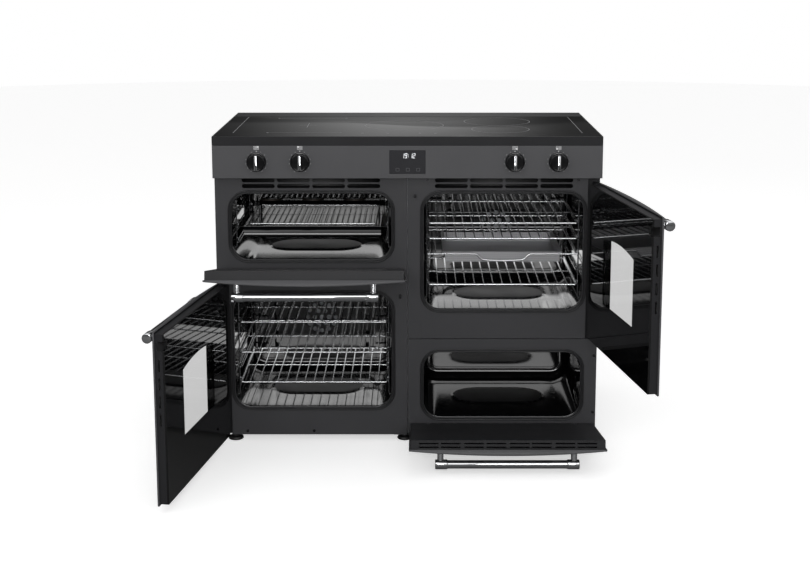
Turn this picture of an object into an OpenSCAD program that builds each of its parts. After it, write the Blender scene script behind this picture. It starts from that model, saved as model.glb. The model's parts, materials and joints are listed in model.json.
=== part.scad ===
// Range cooker, 110 cm wide, with an induction hob above four oven cavities in two columns.
// Left column: a grill with a drop-down door over a tall oven with a side-hung door.
// Right column: a tall oven with a side-hung door over a low oven with a drop-down door.
// Millimetres. X to the right, Y to the back, Z up. The origin is on the floor, at mid width,
// straight under the face of the control panel. Every door stands open.

/* [Overall] */
// Width of the hob and the control panel
body_w = 1100; // [1080:10:1160]
// Depth from the face of the control panel to the back
body_d = 600; // [580:5:650]
// Height of the feet, which is the clearance under the carcass
foot_h = 20; // [15:1:45]
// Thickness of the folded steel sheets
sheet = 1.5; // [1:0.1:2]
// How far the fascias stand behind the control panel
fascia_y = 30; // [30:1:36]

/* [Hob and control panel] */
// Height of the control panel
panel_h = 93; // [85:1:110]
// Free strip between the upper doors and the control panel
vent_strip = 15; // [10:1:25]
// Height of the hob's steel edge
hob_t = 26; // [22:1:34]
// Thickness of the ceramic glass
glass_t = 4; // [3:0.5:6]
// Width of the steel rim round the glass
hob_rim = 4; // [3:0.5:8]
// Depth of the steel strip behind the glass
rear_strip = 104; // [80:1:120]
// Distance of the inner knobs from the middle
knob_inner_x = 302.5; // [260:0.5:320]
// Distance between the two knobs of a pair
knob_pitch = 122.5; // [90:0.5:140]
// Height of the knobs above the lower edge of the panel
knob_rise = 47; // [40:0.5:50]
// Diameter of a knob
knob_d = 55; // [45:0.5:60]
// How far a knob stands out of the panel
knob_out = 30; // [24:0.5:36]
// Width of the clock's glass
clock_w = 101; // [80:1:140]
// Height of the clock's glass
clock_h = 67; // [50:1:75]

/* [Doors] */
// Height of a drop-down door
short_door_h = 289; // [285:1:300]
// Height of a side-hung door
tall_door_h = 459; // [450:1:480]
// Thickness of a door at its edges
door_t = 30; // [28:0.5:32]
// Bulge of the door's outer skin at mid width
door_bow = 12.5; // [8:0.5:16]
// Gap between two doors, one above the other
door_gap = 4; // [3:0.5:6]
// Half of the gap between the left and the right doors
centre_gap = 4.5; // [3:0.5:6]
// How far the doors stop short of the panel's ends
side_inset = 5.5; // [4:0.5:8]
// Gap between the fascia and the inner face of a closed door
door_stand = 4; // [3.5:0.5:6]
// Opening angle of the side-hung doors, in degrees
side_open = 99.5; // [90:0.5:102]
// Opening angle of the grill door, in degrees
grill_open = 78.5; // [60:0.5:80]
// Opening angle of the low oven's door, in degrees
low_open = 80.5; // [60:0.5:82]
// Length of a door handle
handle_len = 396; // [340:1:420]
// Diameter of the handle bar
handle_d = 23; // [18:0.5:24]
// Distance from the door's top edge to the handle's centre line
handle_drop = 38; // [34:1:46]
// Distance from the crest of the skin to the handle's centre line
handle_out = 29.5; // [27:0.5:36]
// Width of the window in the outer skin
window_w = 380; // [300:1:400]

/* [Cavities] */
// Inner width of every cavity
cavity_w = 455; // [440:1:456]
// Depth of every cavity
cavity_d = 410; // [400:1:430]
// Corner radius of the cavity mouths
cavity_r = 48; // [40:1:55]
// Height of a tall cavity's floor above its door's lower edge
tall_sill = 87; // [80:1:95]
// Height of the grill cavity's floor above its door's lower edge
grill_sill = 65; // [60:1:72]
// Height of the low cavity's floor above its door's lower edge
low_sill = 56; // [52:1:64]
// Distance from a cavity's ceiling to its door's upper edge
door_head = 35; // [32:1:42]
// The same distance at the low oven
low_head = 39; // [34:1:44]
// Height of the lowest shelf above the floor of a tall cavity
first_level = 68; // [60:1:76]
// Distance between two shelf levels
level_pitch = 45.25; // [40:0.25:47]
// Depth of a wire shelf
shelf_d = 357; // [330:1:362]
// Radius of the shelf's front and rear rods
shelf_rod_r = 3.2; // [2.5:0.1:3.5]
// Number of thin rods in a wire shelf
shelf_rods = 15; // [9:1:19]

/* [Hidden] */
$fn = 48;

anthracite = "#3b3b3d";
panel_grey = "#505052";
enamel = "#19191b";
zinc = "#a8aaac";
chrome = "#d4d6d8";
plastic = "#141415";
black_glass = "#0c0c0e";
seal_grey = "#2a2a2c";

// Clearances: a pin in its bore, a loose piece in its seat, and a slide on its runner
run_gap = 0.05;
seat_gap = 0.2;
slide_gap = 0.3;

// Heights of the door edges and of what stands above them
door_low = 1;
door_base = foot_h - door_low;
low_door_top = door_base + short_door_h;
tall_right_base = low_door_top + door_gap;
doors_top = tall_right_base + tall_door_h;
tall_left_top = door_base + tall_door_h;
grill_base = doors_top - short_door_h;
panel_z = doors_top + vent_strip;
hob_z = panel_z + panel_h;
top_z = hob_z + hob_t;
seam_left = (tall_left_top + grill_base) / 2;
seam_right = (low_door_top + tall_right_base) / 2;

// Carcass: its half width, the back of the fascias and the frame that carries them
carcass_in = 1;
carcass_x = body_w / 2 - carcass_in;
fascia_back = fascia_y + sheet;
fascia_flange = 12;
frame_y = fascia_y + fascia_flange;
back_in = 10;
back_y = body_d - back_in;
seam = 2;
strip_w = 42;

// Doors in their closed place
door_x0 = centre_gap;
door_x1 = body_w / 2 - side_inset;
door_w = door_x1 - door_x0;
col_x = (door_x0 + door_x1) / 2;
door_in = fascia_y - door_stand;
door_edge = door_in - door_t;
skin_t = 2;
skin_lip = 5;
liner_side = 4;
liner_end = 5;
liner_t = 1.5;
bow_r = (door_w * door_w / 4 + door_bow * door_bow) / (2 * door_bow);
bow_cy = door_edge - door_bow + bow_r;
pane_t = 5;
liner_step = 1.7;
liner_front = door_edge + liner_step;
crest_y = door_edge - door_bow;

// Hinge lines
pin_r = 3;
pivot_in = 9.5;
pivot_x = door_x1 - pivot_in;
pivot_back = 16;
pivot_y = door_in - pivot_back;
drop_in = 4;
drop_y = door_edge + drop_in;
pivot_rise = 17;
arm_pin_r = 4;
arm_x = 215;
tongue_t = 6;
tongue_h = 10;
cheek_t = 2;
cheek_gap = 0.6;
cheek_y = 2;

// Catches near the free upper corner of each side-hung door
catch_drop = 37;
catch_in = 17;
catch_slot = 24;
catch_front = 5;

// Cavities: floor heights and inner heights
tall_h = tall_door_h - tall_sill - door_head;
grill_h = short_door_h - grill_sill - door_head;
low_h = short_door_h - low_sill - low_head;
grill_z = grill_base + grill_sill;
left_z = door_base + tall_sill;
right_z = tall_right_base + tall_sill;
low_z = door_base + low_sill;
cavity_flange = 10;
hinge_strip = carcass_x - col_x - cavity_w / 2 - cavity_flange - sheet - slide_gap - seat_gap;
cavity_back = fascia_back + cavity_d;
wall_y = cavity_back - sheet;

// Shelves and the racks that they slide on
shelf_side = 14;
shelf_half = cavity_w / 2 - shelf_side;
side_rod_r = 3;
thin_rod_r = 1.6;
shelf_in = 20;
shelf_front = fascia_y + shelf_in;
shelf_back = shelf_front + shelf_d;
rack_from = 20;
rack_y0 = shelf_front + rack_from;
rack_to = 17;
rack_y1 = shelf_back - rack_to;
rack_in = 8;
rack_x = cavity_w / 2 - rack_in;
upright_r = 2.5;
runner_r = 2;
runner_end = 4;
stub_r = 1.6;
guide_gap = 3;
grill_level = 46;
tall_levels = 5;
grill_levels = 3;

// Heating and air
element_r = 3.2;
tube_tail = 20;
ring_r = 86;
ring_out = 13;
floor_ring_r = 150;
fan_r = 66;
fan_depth = 14;
shaft_r = 4;
motor_r = 35;
baffle_out = 27;
baffle_y = wall_y - baffle_out;
lamp_r = 18;

// Hob zones: X, distance behind the middle of the glass, and radius of each coil
coils = [[-298, -75, 85], [-298, 103, 85], [-11, 14, 115], [271, 107, 98], [271, -83, 84]];
coil_hole_r = 18;

// ---------- helpers ----------

// A plate that stands upright: its outline is drawn in X and Z, its thickness runs back from y0
module upright(y0, t) {
    translate([0, y0 + t, 0])
        rotate([90, 0, 0])
            linear_extrude(t)
                children();
}

module rounded_rect(w, h, r) {
    square([w - 2 * r, h], center = true);
    square([w, h - 2 * r], center = true);
    for (sx = [-1, 1], sy = [-1, 1])
        translate([sx * (w / 2 - r), sy * (h / 2 - r)])
            circle(r);
}

// A slot with round ends, lying along X
module slot_shape(w, h) {
    square([w - h, h], center = true);
    for (s = [-1, 1])
        translate([s * (w - h) / 2, 0])
            circle(h / 2);
}

// A window with a straight foot and a shallow arched head, its foot at height 0
module arched_shape(w, h, rise) {
    arch_r = (w * w / 4 + rise * rise) / (2 * rise);
    intersection() {
        translate([-w / 2, 0])
            square([w, h + rise]);
        translate([0, h + rise - arch_r])
            circle(arch_r, $fn = 96);
    }
}

module rod_x(x0, x1, y, z, r) {
    translate([x0, y, z])
        rotate([0, 90, 0])
            cylinder(h = x1 - x0, r = r);
}

module rod_y(x, y0, y1, z, r) {
    translate([x, y0, z])
        rotate([-90, 0, 0])
            cylinder(h = y1 - y0, r = r);
}

module rod_z(x, y, z0, z1, r) {
    translate([x, y, z0])
        cylinder(h = z1 - z0, r = r);
}

// ---------- carcass ----------

module base_pan() {
    color(enamel)
        difference() {
            translate([-(carcass_x - sheet), frame_y + sheet, foot_h])
                cube([2 * (carcass_x - sheet), back_y - frame_y - sheet, sheet]);
            for (p = foot_places())
                rod_z(p[0], p[1], foot_h - 1, foot_h + sheet + 1, foot_stem_r + seat_gap);
        }
}

// A side sheet with a front flange that carries the fascias and the hinges
module side_panel(s) {
    color(enamel) {
        translate([s > 0 ? carcass_x - sheet : -carcass_x, frame_y, foot_h])
            cube([sheet, back_y - frame_y, hob_z - foot_h]);
        translate([s > 0 ? carcass_x - strip_w : -carcass_x, frame_y, foot_h])
            cube([strip_w, sheet, hob_z - foot_h]);
    }
}

vent_slots = 8;
back_slot_w = 90;
back_slot_h = 8;
back_slot_pitch = 120;
back_slot_top = 70;
gland_in = 150;
gland_x = body_w / 2 - gland_in;
gland_z = 110;
gland_r = 9;
gland_wall = 4;
gland_len = 34;

module back_panel() {
    color(zinc)
        difference() {
            upright(back_y, sheet)
                translate([-carcass_x, foot_h])
                    square([2 * carcass_x, hob_z - foot_h]);
            for (i = [0 : vent_slots - 1], row = [0 : 2])
                translate([(i - (vent_slots - 1) / 2) * back_slot_pitch, 0,
                    hob_z - back_slot_top - row * 3 * back_slot_h])
                    upright(back_y - 1, sheet + 2)
                        slot_shape(back_slot_w, back_slot_h);
            rod_y(gland_x, back_y - 1, back_y + sheet + 1, gland_z, gland_r + gland_wall + seat_gap);
        }
}

centre_flange = 30;

// The wall between the two columns of ovens, with a front flange behind the fascias' seam
module centre_wall() {
    color(zinc) {
        translate([-sheet / 2, frame_y, foot_h + sheet])
            cube([sheet, back_y - frame_y, hob_z - foot_h - sheet]);
        translate([-centre_flange, frame_y, foot_h + sheet])
            cube([2 * centre_flange, sheet, hob_z - foot_h - sheet]);
    }
}

foot_r = 22;
foot_stem_r = 6;
foot_pad_h = 9;
foot_inset = 42;
foot_front_y = 56;
foot_back_in = 50;
foot_thread = 24;

function foot_places() = [
    [-(carcass_x - foot_inset), foot_front_y], [-9, foot_front_y],
    [carcass_x - foot_inset, foot_front_y],
    [-(carcass_x - foot_inset), back_y - foot_back_in], [carcass_x - foot_inset, back_y - foot_back_in]];

// Each foot is a round pad, a collar under the base pan and a threaded stem through it
module levelling_feet() {
    color(plastic)
        for (p = foot_places()) {
            rod_z(p[0], p[1], 0, foot_pad_h, foot_r);
            rod_z(p[0], p[1], foot_pad_h, foot_h, foot_stem_r * 2);
            rod_z(p[0], p[1], foot_h, foot_h + foot_thread, foot_stem_r);
        }
}

// ---------- fascias ----------

louvre_w = 93;
louvre_h = 12;
louvre_pitch = 100;
louvre_rows = [10, 27];
louvres = 4;
mouth_gap = 0.5;

// Air slots under the control panel
module louvre_cuts(cx) {
    for (i = [0 : louvres - 1], drop = louvre_rows)
        translate([cx + (i - (louvres - 1) / 2) * louvre_pitch, 0, panel_z - drop])
            upright(fascia_y - 1, sheet + 2)
                slot_shape(louvre_w, louvre_h);
}

// Holes in a fascia for the fixed tongues of a drop-down door's hinges
module tongue_cuts(cx, base) {
    for (s = [-1, 1])
        translate([cx + s * arm_x - tongue_t, fascia_y - 1, base + pivot_rise - tongue_h])
            cube([2 * tongue_t, sheet + 2, 2 * tongue_h]);
}

// An enamelled front frame round one cavity: a sheet with its edges folded back
module fascia(x0, x1, z0, z1, cx, floor_z, h) {
    difference() {
        translate([x0, fascia_y, z0])
            cube([x1 - x0, fascia_flange, z1 - z0]);
        translate([x0 + sheet, fascia_back, z0 + sheet])
            cube([x1 - x0 - 2 * sheet, fascia_flange, z1 - z0 - 2 * sheet]);
        translate([cx, 0, floor_z + h / 2])
            upright(fascia_y - 1, sheet + 2)
                rounded_rect(cavity_w + 2 * mouth_gap, h + 2 * mouth_gap, cavity_r + mouth_gap);
    }
}

module fascia_left_upper() {
    color(anthracite)
        difference() {
            fascia(-carcass_x, -seam / 2, seam_left + seam / 2, panel_z - mouth_gap,
                -col_x, grill_z, grill_h);
            louvre_cuts(-col_x);
            tongue_cuts(-col_x, grill_base);
        }
}

module fascia_left_lower() {
    color(anthracite)
        fascia(-(carcass_x - hinge_strip), -seam / 2, foot_h, seam_left - seam / 2,
            -col_x, left_z, tall_h);
}

module fascia_right_upper() {
    color(anthracite)
        difference() {
            fascia(seam / 2, carcass_x - hinge_strip, seam_right + seam / 2,
                panel_z - mouth_gap, col_x, right_z, tall_h);
            louvre_cuts(col_x);
        }
}

module fascia_right_lower() {
    color(anthracite)
        difference() {
            fascia(seam / 2, carcass_x, foot_h, seam_right - seam / 2, col_x, low_z, low_h);
            tongue_cuts(col_x, door_base);
        }
}

seal_in = 3;
seal_w = 8;

// A rubber ring round the mouth of a cavity, just clear of the closed door
module seal(cx, floor_z, h) {
    wide = 2 * (seal_in + seal_w);
    translate([cx, 0, floor_z + h / 2])
        upright(door_in + slide_gap, fascia_y - door_in - slide_gap)
            difference() {
                rounded_rect(cavity_w + wide, h + wide, cavity_r + seal_in + seal_w);
                rounded_rect(cavity_w + 2 * seal_in, h + 2 * seal_in, cavity_r + seal_in);
            }
}

module door_seals() {
    color(seal_grey) {
        seal(-col_x, grill_z, grill_h);
        seal(-col_x, left_z, tall_h);
        seal(col_x, right_z, tall_h);
        seal(col_x, low_z, low_h);
    }
}

screw_r = 4;
screw_h = 1.6;
plate_w = 38;
plate_h = 48;
plate_t = 1;

// A pan-head screw on a fascia
module fascia_screw(x, z) {
    rod_y(x, fascia_y - screw_h, fascia_y, z, screw_r);
}

striker_w = 6;
striker_out = 12;
striker_t = 4;

// A bent striker that a side-hung door's catch closes over
module striker(x, z) {
    translate([x - striker_w / 2, fascia_y - striker_out, z - striker_t / 2])
        cube([striker_w, striker_out, striker_t]);
    translate([x - striker_w / 2, fascia_y - striker_out, z - 2 * striker_t])
        cube([striker_w, striker_t - 1, 2 * striker_t]);
}

// Where the screws sit on the fascias, in X and Z
function screw_places() = [
    [-col_x - cavity_w / 2 + 33, foot_h + 12], [-col_x, foot_h + 12],
    [col_x - cavity_w / 2 + 10, panel_z - 9], [col_x + cavity_w / 2 - 16, panel_z - 9],
    [carcass_x - 8, low_z + 14], [carcass_x - 8, seam_right - 50]];

module fascia_fixings() {
    color(anthracite) {
        translate([seam, fascia_y - plate_t, seam_right + seam / 2])
            cube([plate_w, plate_t, plate_h]);
        translate([-seam - plate_w, fascia_y - plate_t, foot_h])
            cube([plate_w, plate_t, plate_h]);
    }
    color(chrome) {
        striker(door_x0 + catch_in, doors_top - catch_drop);
        striker(-(door_x0 + catch_in), tall_left_top - catch_drop);
        for (p = screw_places())
            fascia_screw(p[0], p[1]);
    }
}

// ---------- control panel, clock and knobs ----------

function knob_places() = [
    -(knob_inner_x + knob_pitch), -knob_inner_x, knob_inner_x, knob_inner_x + knob_pitch];
spindle_r = 3;
spindle_back = 22;
clock_z = panel_z + panel_h / 2;
clock_t = 4;
clock_lip = 6;
clock_rail = 4;
clock_deep = 26;
clock_bar = 5;

// A folded sheet, open at the back, that closes the front above the doors
module control_panel() {
    color(panel_grey)
        difference() {
            translate([-body_w / 2, 0, panel_z])
                cube([body_w, frame_y, panel_h]);
            translate([-body_w / 2 + sheet, sheet, panel_z + sheet])
                cube([body_w - 2 * sheet, frame_y, panel_h - 2 * sheet]);
            for (x = knob_places())
                rod_y(x, -1, sheet + 1, panel_z + knob_rise, spindle_r + run_gap);
            translate([0, 0, clock_z])
                upright(-1, sheet + 2)
                    square([clock_w + 2 * seat_gap, clock_h + 2 * seat_gap], center = true);
        }
}

// The clock's glass in the panel, with its housing behind
module clock_module() {
    color(black_glass)
        translate([0, 0, clock_z]) {
            upright(-seat_gap, sheet + 2 * seat_gap)
                square([clock_w, clock_h], center = true);
            upright(sheet + seat_gap, clock_t)
                square([clock_w + 2 * clock_lip, clock_h + 2 * clock_rail], center = true);
            upright(sheet + seat_gap + clock_t, clock_deep)
                square([clock_w - 2 * clock_bar, clock_h - 2 * clock_lip], center = true);
        }
}

pointer_w = 9;
pointer_len = 42;
knob_face = 22;
skirt_h = 6;
knob_stand = 1;

// A knob with a wide skirt, a bar-shaped pointer and its spindle through the panel
module knob(i) {
    x = knob_places()[i];
    z = panel_z + knob_rise;
    color(plastic) {
        rod_y(x, -(knob_stand + skirt_h), -knob_stand, z, knob_d / 2);
        rod_y(x, -knob_face, -(knob_stand + skirt_h), z, knob_d / 2 - 3);
        rod_y(x, -knob_stand, spindle_back, z, spindle_r);
        translate([x - pointer_w / 2, -knob_out, z - pointer_len / 2])
            cube([pointer_w, knob_out - knob_face, pointer_len]);
    }
}

module knob_1() { knob(0); }
module knob_2() { knob(1); }
module knob_3() { knob(2); }
module knob_4() { knob(3); }

// ---------- hob ----------

glass_d = body_d - rear_strip - hob_rim;
glass_y = hob_rim + glass_d / 2;
glass_ledge = 10;

// The hob's steel tray: an edge all round, a ledge for the glass and a flat strip at the back
module hob_frame() {
    color(anthracite)
        difference() {
            translate([-body_w / 2, 0, hob_z])
                cube([body_w, body_d, hob_t]);
            translate([-body_w / 2 + hob_rim, hob_rim, top_z - glass_t])
                cube([body_w - 2 * hob_rim, glass_d, glass_t + 1]);
            translate([-body_w / 2 + hob_rim + glass_ledge, hob_rim + glass_ledge, hob_z + sheet])
                cube([body_w - 2 * (hob_rim + glass_ledge), glass_d - 2 * glass_ledge, hob_t]);
            translate([-body_w / 2 + sheet, body_d - rear_strip + glass_ledge, hob_z - 1])
                cube([body_w - 2 * sheet, rear_strip - glass_ledge - sheet, hob_t + 1 - sheet]);
        }
}

module hob_glass() {
    color(black_glass)
        translate([-body_w / 2 + hob_rim + seat_gap, hob_rim + seat_gap, top_z - glass_t])
            cube([body_w - 2 * (hob_rim + seat_gap), glass_d - 2 * seat_gap, glass_t]);
}

// Flat coils with a hole in the middle, on the floor of the hob tray and close under the glass
module induction_coils() {
    color("#b87333")
        for (c = coils)
            difference() {
                rod_z(c[0], glass_y + c[1], hob_z + sheet, top_z - glass_t - slide_gap, c[2]);
                rod_z(c[0], glass_y + c[1], hob_z, top_z, coil_hole_r);
            }
}

// ---------- cavities ----------

oval_w = 270;
oval_d = 150;
oval_y = 0.48;
press_h = 3;

// A five-sided enamelled box with rounded corners, a flange at its mouth, and a pressed oval in
// its floor
module cavity(cx, floor_z, h) {
    difference() {
        translate([cx, 0, floor_z + h / 2]) {
            upright(fascia_back, cavity_d)
                rounded_rect(cavity_w + 2 * sheet, h + 2 * sheet, cavity_r + sheet);
            upright(fascia_back, sheet)
                rounded_rect(cavity_w + 2 * cavity_flange, h + 2 * cavity_flange,
                    cavity_r + cavity_flange);
        }
        difference() {
            translate([cx, 0, floor_z + h / 2])
                upright(fascia_back - 1, cavity_d + 1 - sheet)
                    rounded_rect(cavity_w, h, cavity_r);
            translate([cx, fascia_back + oval_y * cavity_d, floor_z - 1])
                linear_extrude(press_h + 1)
                    slot_shape(oval_w, oval_d);
        }
    }
}

// Round ways through the back wall of a fan oven, for the shaft and the ring's two ends
module fan_cuts(cx, floor_z, h) {
    z = floor_z + h / 2;
    rod_y(cx, wall_y - 1, cavity_back + 1, z, shaft_r + 1);
    for (s = [-1, 1])
        rod_y(cx + s * ring_end_x, wall_y - 1, cavity_back + 1, z - ring_end_z(),
            element_r + seat_gap);
}

module cavity_left_upper() {
    color(enamel)
        difference() {
            cavity(-col_x, grill_z, grill_h);
            for (s = [-1, 1])
                rod_y(-col_x + s * grill_reach, wall_y - 1, cavity_back + 1,
                    grill_z + grill_h - grill_drop, element_r + seat_gap);
        }
}

module cavity_left_lower() {
    color(enamel)
        difference() {
            cavity(-col_x, left_z, tall_h);
            fan_cuts(-col_x, left_z, tall_h);
        }
}

module cavity_right_upper() {
    color(enamel)
        difference() {
            cavity(col_x, right_z, tall_h);
            fan_cuts(col_x, right_z, tall_h);
        }
}

module cavity_right_lower() {
    color(enamel)
        cavity(col_x, low_z, low_h);
}

// One side of a rack: two uprights, at each level a runner and a guide on short stubs, and four
// pegs to the cavity's wall
module rack_side(cx, s, floor_z, h, first, levels) {
    x = cx + s * rack_x;
    inner = cx + s * shelf_half;
    wall = cx + s * (cavity_w / 2 - seat_gap);
    foot = corner_height(rack_in - upright_r) + seat_gap;
    for (y = [rack_y0, rack_y1])
        rod_z(x, y, floor_z + foot, floor_z + h - foot, upright_r);
    for (i = [0 : levels - 1])
        for (z = rod_heights(floor_z + first + i * level_pitch)) {
            rod_y(inner, rack_y0 - runner_end, rack_y1 + runner_end, z, runner_r);
            for (y = [rack_y0, rack_y1])
                rod_x(min(x, inner), max(x, inner), y, z, stub_r);
        }
    for (i = [0, levels - 1], y = [rack_y0, rack_y1])
        rod_x(min(x, wall), max(x, wall), y, floor_z + first + i * level_pitch, stub_r);
}

// Height of a cavity's rounded corner above its floor, at a distance from the side wall
function corner_height(reach) =
    cavity_r - sqrt(cavity_r * cavity_r - (cavity_r - reach) * (cavity_r - reach));

// Heights of the runner under a shelf's rods and of the guide over them
function rod_heights(level) = [
    level - shelf_rod_r - runner_r - seat_gap,
    level + shelf_rod_r + runner_r + guide_gap];

module side_racks() {
    color(chrome)
        for (s = [-1, 1]) {
            rack_side(-col_x, s, grill_z, grill_h, grill_level, grill_levels);
            rack_side(-col_x, s, left_z, tall_h, first_level, tall_levels);
            rack_side(col_x, s, right_z, tall_h, first_level, tall_levels);
        }
}

grill_reach = 150;
grill_drop = 26;
grill_bend = 30;
grill_y0 = 110;
grill_y1 = 370;
ring_end_x = 24;
function ring_end_z() = sqrt(ring_r * ring_r - ring_end_x * ring_end_x);

// A half ring of heating tube in a flat plane, opening to the back (s = 1) or to the front (-1)
module tube_bend(x, y, z, s) {
    translate([x, y, z])
        rotate([0, 0, s > 0 ? 180 : 0])
            rotate_extrude(angle = 180)
                translate([grill_bend, 0])
                    circle(element_r);
}

// The grill's tube runs to and fro under the ceiling and both ends leave through the back wall
module grill_element() {
    z = grill_z + grill_h - grill_drop;
    rod_y(-col_x - grill_reach, grill_y0, cavity_back + tube_tail, z, element_r);
    rod_y(-col_x + grill_reach, grill_y0, cavity_back + tube_tail, z, element_r);
    for (i = [1 : 4])
        rod_y(-col_x - grill_reach + i * 2 * grill_bend, grill_y0, grill_y1, z, element_r);
    for (i = [0 : 2 : 4])
        tube_bend(-col_x - grill_reach + (i + 0.5) * 2 * grill_bend, grill_y0, z, 1);
    for (i = [1 : 2 : 3])
        tube_bend(-col_x - grill_reach + (i + 0.5) * 2 * grill_bend, grill_y1, z, -1);
}

// A ring of heating tube round a fan, its two ends out through the back wall
module ring_element(cx, floor_z) {
    z = floor_z + tall_h / 2;
    y = wall_y - ring_out;
    translate([cx, y, z])
        rotate([90, 0, 0])
            rotate_extrude()
                translate([ring_r, 0])
                    circle(element_r);
    for (s = [-1, 1])
        rod_y(cx + s * ring_end_x, y, cavity_back + tube_tail, z - ring_end_z(),
            element_r - 2 * seat_gap);
}

// The low oven is heated by a ring against the underside of its floor
module floor_element() {
    translate([col_x, fascia_back + oval_y * cavity_d, low_z - sheet - element_r - seat_gap])
        rotate_extrude()
            translate([floor_ring_r, 0])
                circle(element_r);
}

module heating_elements() {
    color(zinc) {
        grill_element();
        ring_element(-col_x, left_z);
        ring_element(col_x, right_z);
        floor_element();
    }
}

baffle_side = 57.5;
baffle_w = cavity_w - 2 * baffle_side;
baffle_margin = 34;
baffle_r = 36;
baffle_hole_r = 7;
baffle_pitch = 22;
baffle_slot_in = 26;
baffle_slot_w = 12;
baffle_slot_h = 30;
baffle_slot_r = 5.5;
baffle_slot_pitch = 42;

// A pressed cover over the fan: a middle field of round holes and a tall slot at each side
module fan_baffle(cx, floor_z) {
    z = floor_z + tall_h / 2;
    h = tall_h - 2 * baffle_margin;
    difference() {
        translate([cx, 0, z])
            upright(baffle_y, wall_y - baffle_y)
                rounded_rect(baffle_w, h, baffle_r);
        translate([cx, 0, z])
            upright(baffle_y + sheet, wall_y - baffle_y)
                rounded_rect(baffle_w - 2 * sheet, h - 2 * sheet, baffle_r - sheet);
        for (ring = [0 : 2], i = [0 : 6 * ring])
            rod_y(cx + baffle_pitch * ring * cos(60 * i / max(ring, 1)), baffle_y - 1,
                baffle_y + sheet + 1, z + baffle_pitch * ring * sin(60 * i / max(ring, 1)),
                baffle_hole_r);
        for (s = [-1, 1], i = [-2 : 2])
            translate([cx + s * (baffle_w / 2 - baffle_slot_in), 0, z + i * baffle_slot_pitch])
                upright(baffle_y - 1, sheet + 2)
                    rounded_rect(baffle_slot_w, baffle_slot_h, baffle_slot_r);
    }
}

module fan_baffles() {
    color(enamel) {
        fan_baffle(-col_x, left_z);
        fan_baffle(col_x, right_z);
    }
}

fan_gap = 5;
fan_blades = 12;
hub_r = 12;
shaft_len = 40;

// An impeller: a disc, a hub, blades that stand forward of the disc, and the motor's shaft
module fan(cx, floor_z) {
    z = floor_z + tall_h / 2;
    disc_y = wall_y - fan_gap;
    color(zinc) {
        rod_y(cx, disc_y - sheet, disc_y, z, fan_r);
        rod_y(cx, disc_y - fan_depth, disc_y, z, hub_r);
        rod_y(cx, disc_y, cavity_back + shaft_len, z, shaft_r);
        for (i = [0 : fan_blades - 1])
            translate([cx, 0, z])
                rotate([0, 360 * i / fan_blades, 0])
                    translate([fan_r * 0.5, disc_y - fan_depth, -sheet / 2])
                        cube([fan_r * 0.45, fan_depth, sheet]);
    }
}

module fan_left() { fan(-col_x, left_z); }
module fan_right() { fan(col_x, right_z); }

motor_len = 55;
motor_flange = 18;
motor_flange_t = 2;
motor_hole_r = 8;

// A motor with a mounting flange against the back of the cavity
module fan_motor(cx, floor_z) {
    z = floor_z + tall_h / 2;
    difference() {
        union() {
            rod_y(cx, cavity_back, cavity_back + motor_flange_t, z, motor_r + motor_flange);
            rod_y(cx, cavity_back + motor_flange_t, cavity_back + motor_len, z, motor_r);
        }
        rod_y(cx, cavity_back - 1, cavity_back + shaft_len + fan_gap, z, shaft_r + run_gap);
        for (s = [-1, 1])
            rod_y(cx + s * ring_end_x, cavity_back - 1, cavity_back + motor_flange_t + 1,
                z - ring_end_z(), motor_hole_r);
    }
}

module fan_motors() {
    color(zinc) {
        fan_motor(-col_x, left_z);
        fan_motor(col_x, right_z);
    }
}

lamp_in = 12;
lamp_t = 12;

// Round lamps on the back walls of the grill and of both fan ovens
module oven_lamps() {
    color("#e8e4d8")
        for (p = [[-col_x, grill_z + grill_h], [-col_x, left_z + tall_h], [col_x, right_z + tall_h]])
            rod_y(p[0] + cavity_w / 2 - lamp_r - lamp_in, wall_y - lamp_t, wall_y,
                p[1] - cavity_r, lamp_r);
}

box_w = 90;
box_d = 46;
box_h = 80;
box_wall = 3;

// The mains terminal box behind the back panel, with a gland for the supply cable
module terminal_box() {
    color(plastic)
        difference() {
            union() {
                translate([gland_x - box_w / 2, back_y - box_d, gland_z - box_h / 2])
                    cube([box_w, box_d, box_h]);
                rod_y(gland_x, body_d - gland_len, body_d, gland_z, gland_r + gland_wall);
            }
            difference() {
                translate([gland_x - box_w / 2, back_y - box_d, gland_z - box_h / 2]
                    + [box_wall, box_wall, box_wall])
                    cube([box_w, box_d, box_h] - 2 * [box_wall, box_wall, box_wall]);
                rod_y(gland_x, body_d - gland_len, body_d, gland_z, gland_r + gland_wall);
            }
            rod_y(gland_x, body_d - gland_len - 1, body_d + 1, gland_z, gland_r);
        }
}

// ---------- hinges ----------

bracket_w = 14;
bracket_t = 3;
bracket_gap = 1;
bracket_leg = 36;
pin_len = 12;

// A plate with an upright pin at one end of a side-hung door; up = 1 points the pin upwards
module pin_bracket(s, z, up) {
    x = s * pivot_x;
    z0 = up > 0 ? z - bracket_gap - bracket_t : z + bracket_gap;
    rod_z(x, pivot_y, z0, z0 + bracket_t, bracket_w / 2);
    translate([x - bracket_w / 2, pivot_y, z0])
        cube([bracket_w, frame_y - pivot_y, bracket_t]);
    translate([x - bracket_w / 2, frame_y - bracket_t, up > 0 ? z0 : z0 - bracket_leg])
        cube([bracket_w, bracket_t, bracket_leg + bracket_t]);
    rod_z(x, pivot_y, up > 0 ? z0 + bracket_t : z0 - pin_len,
        up > 0 ? z0 + bracket_t + pin_len : z0, pin_r);
}

housing_w = 16;
housing_d = 26;
housing_h = 33;

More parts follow.
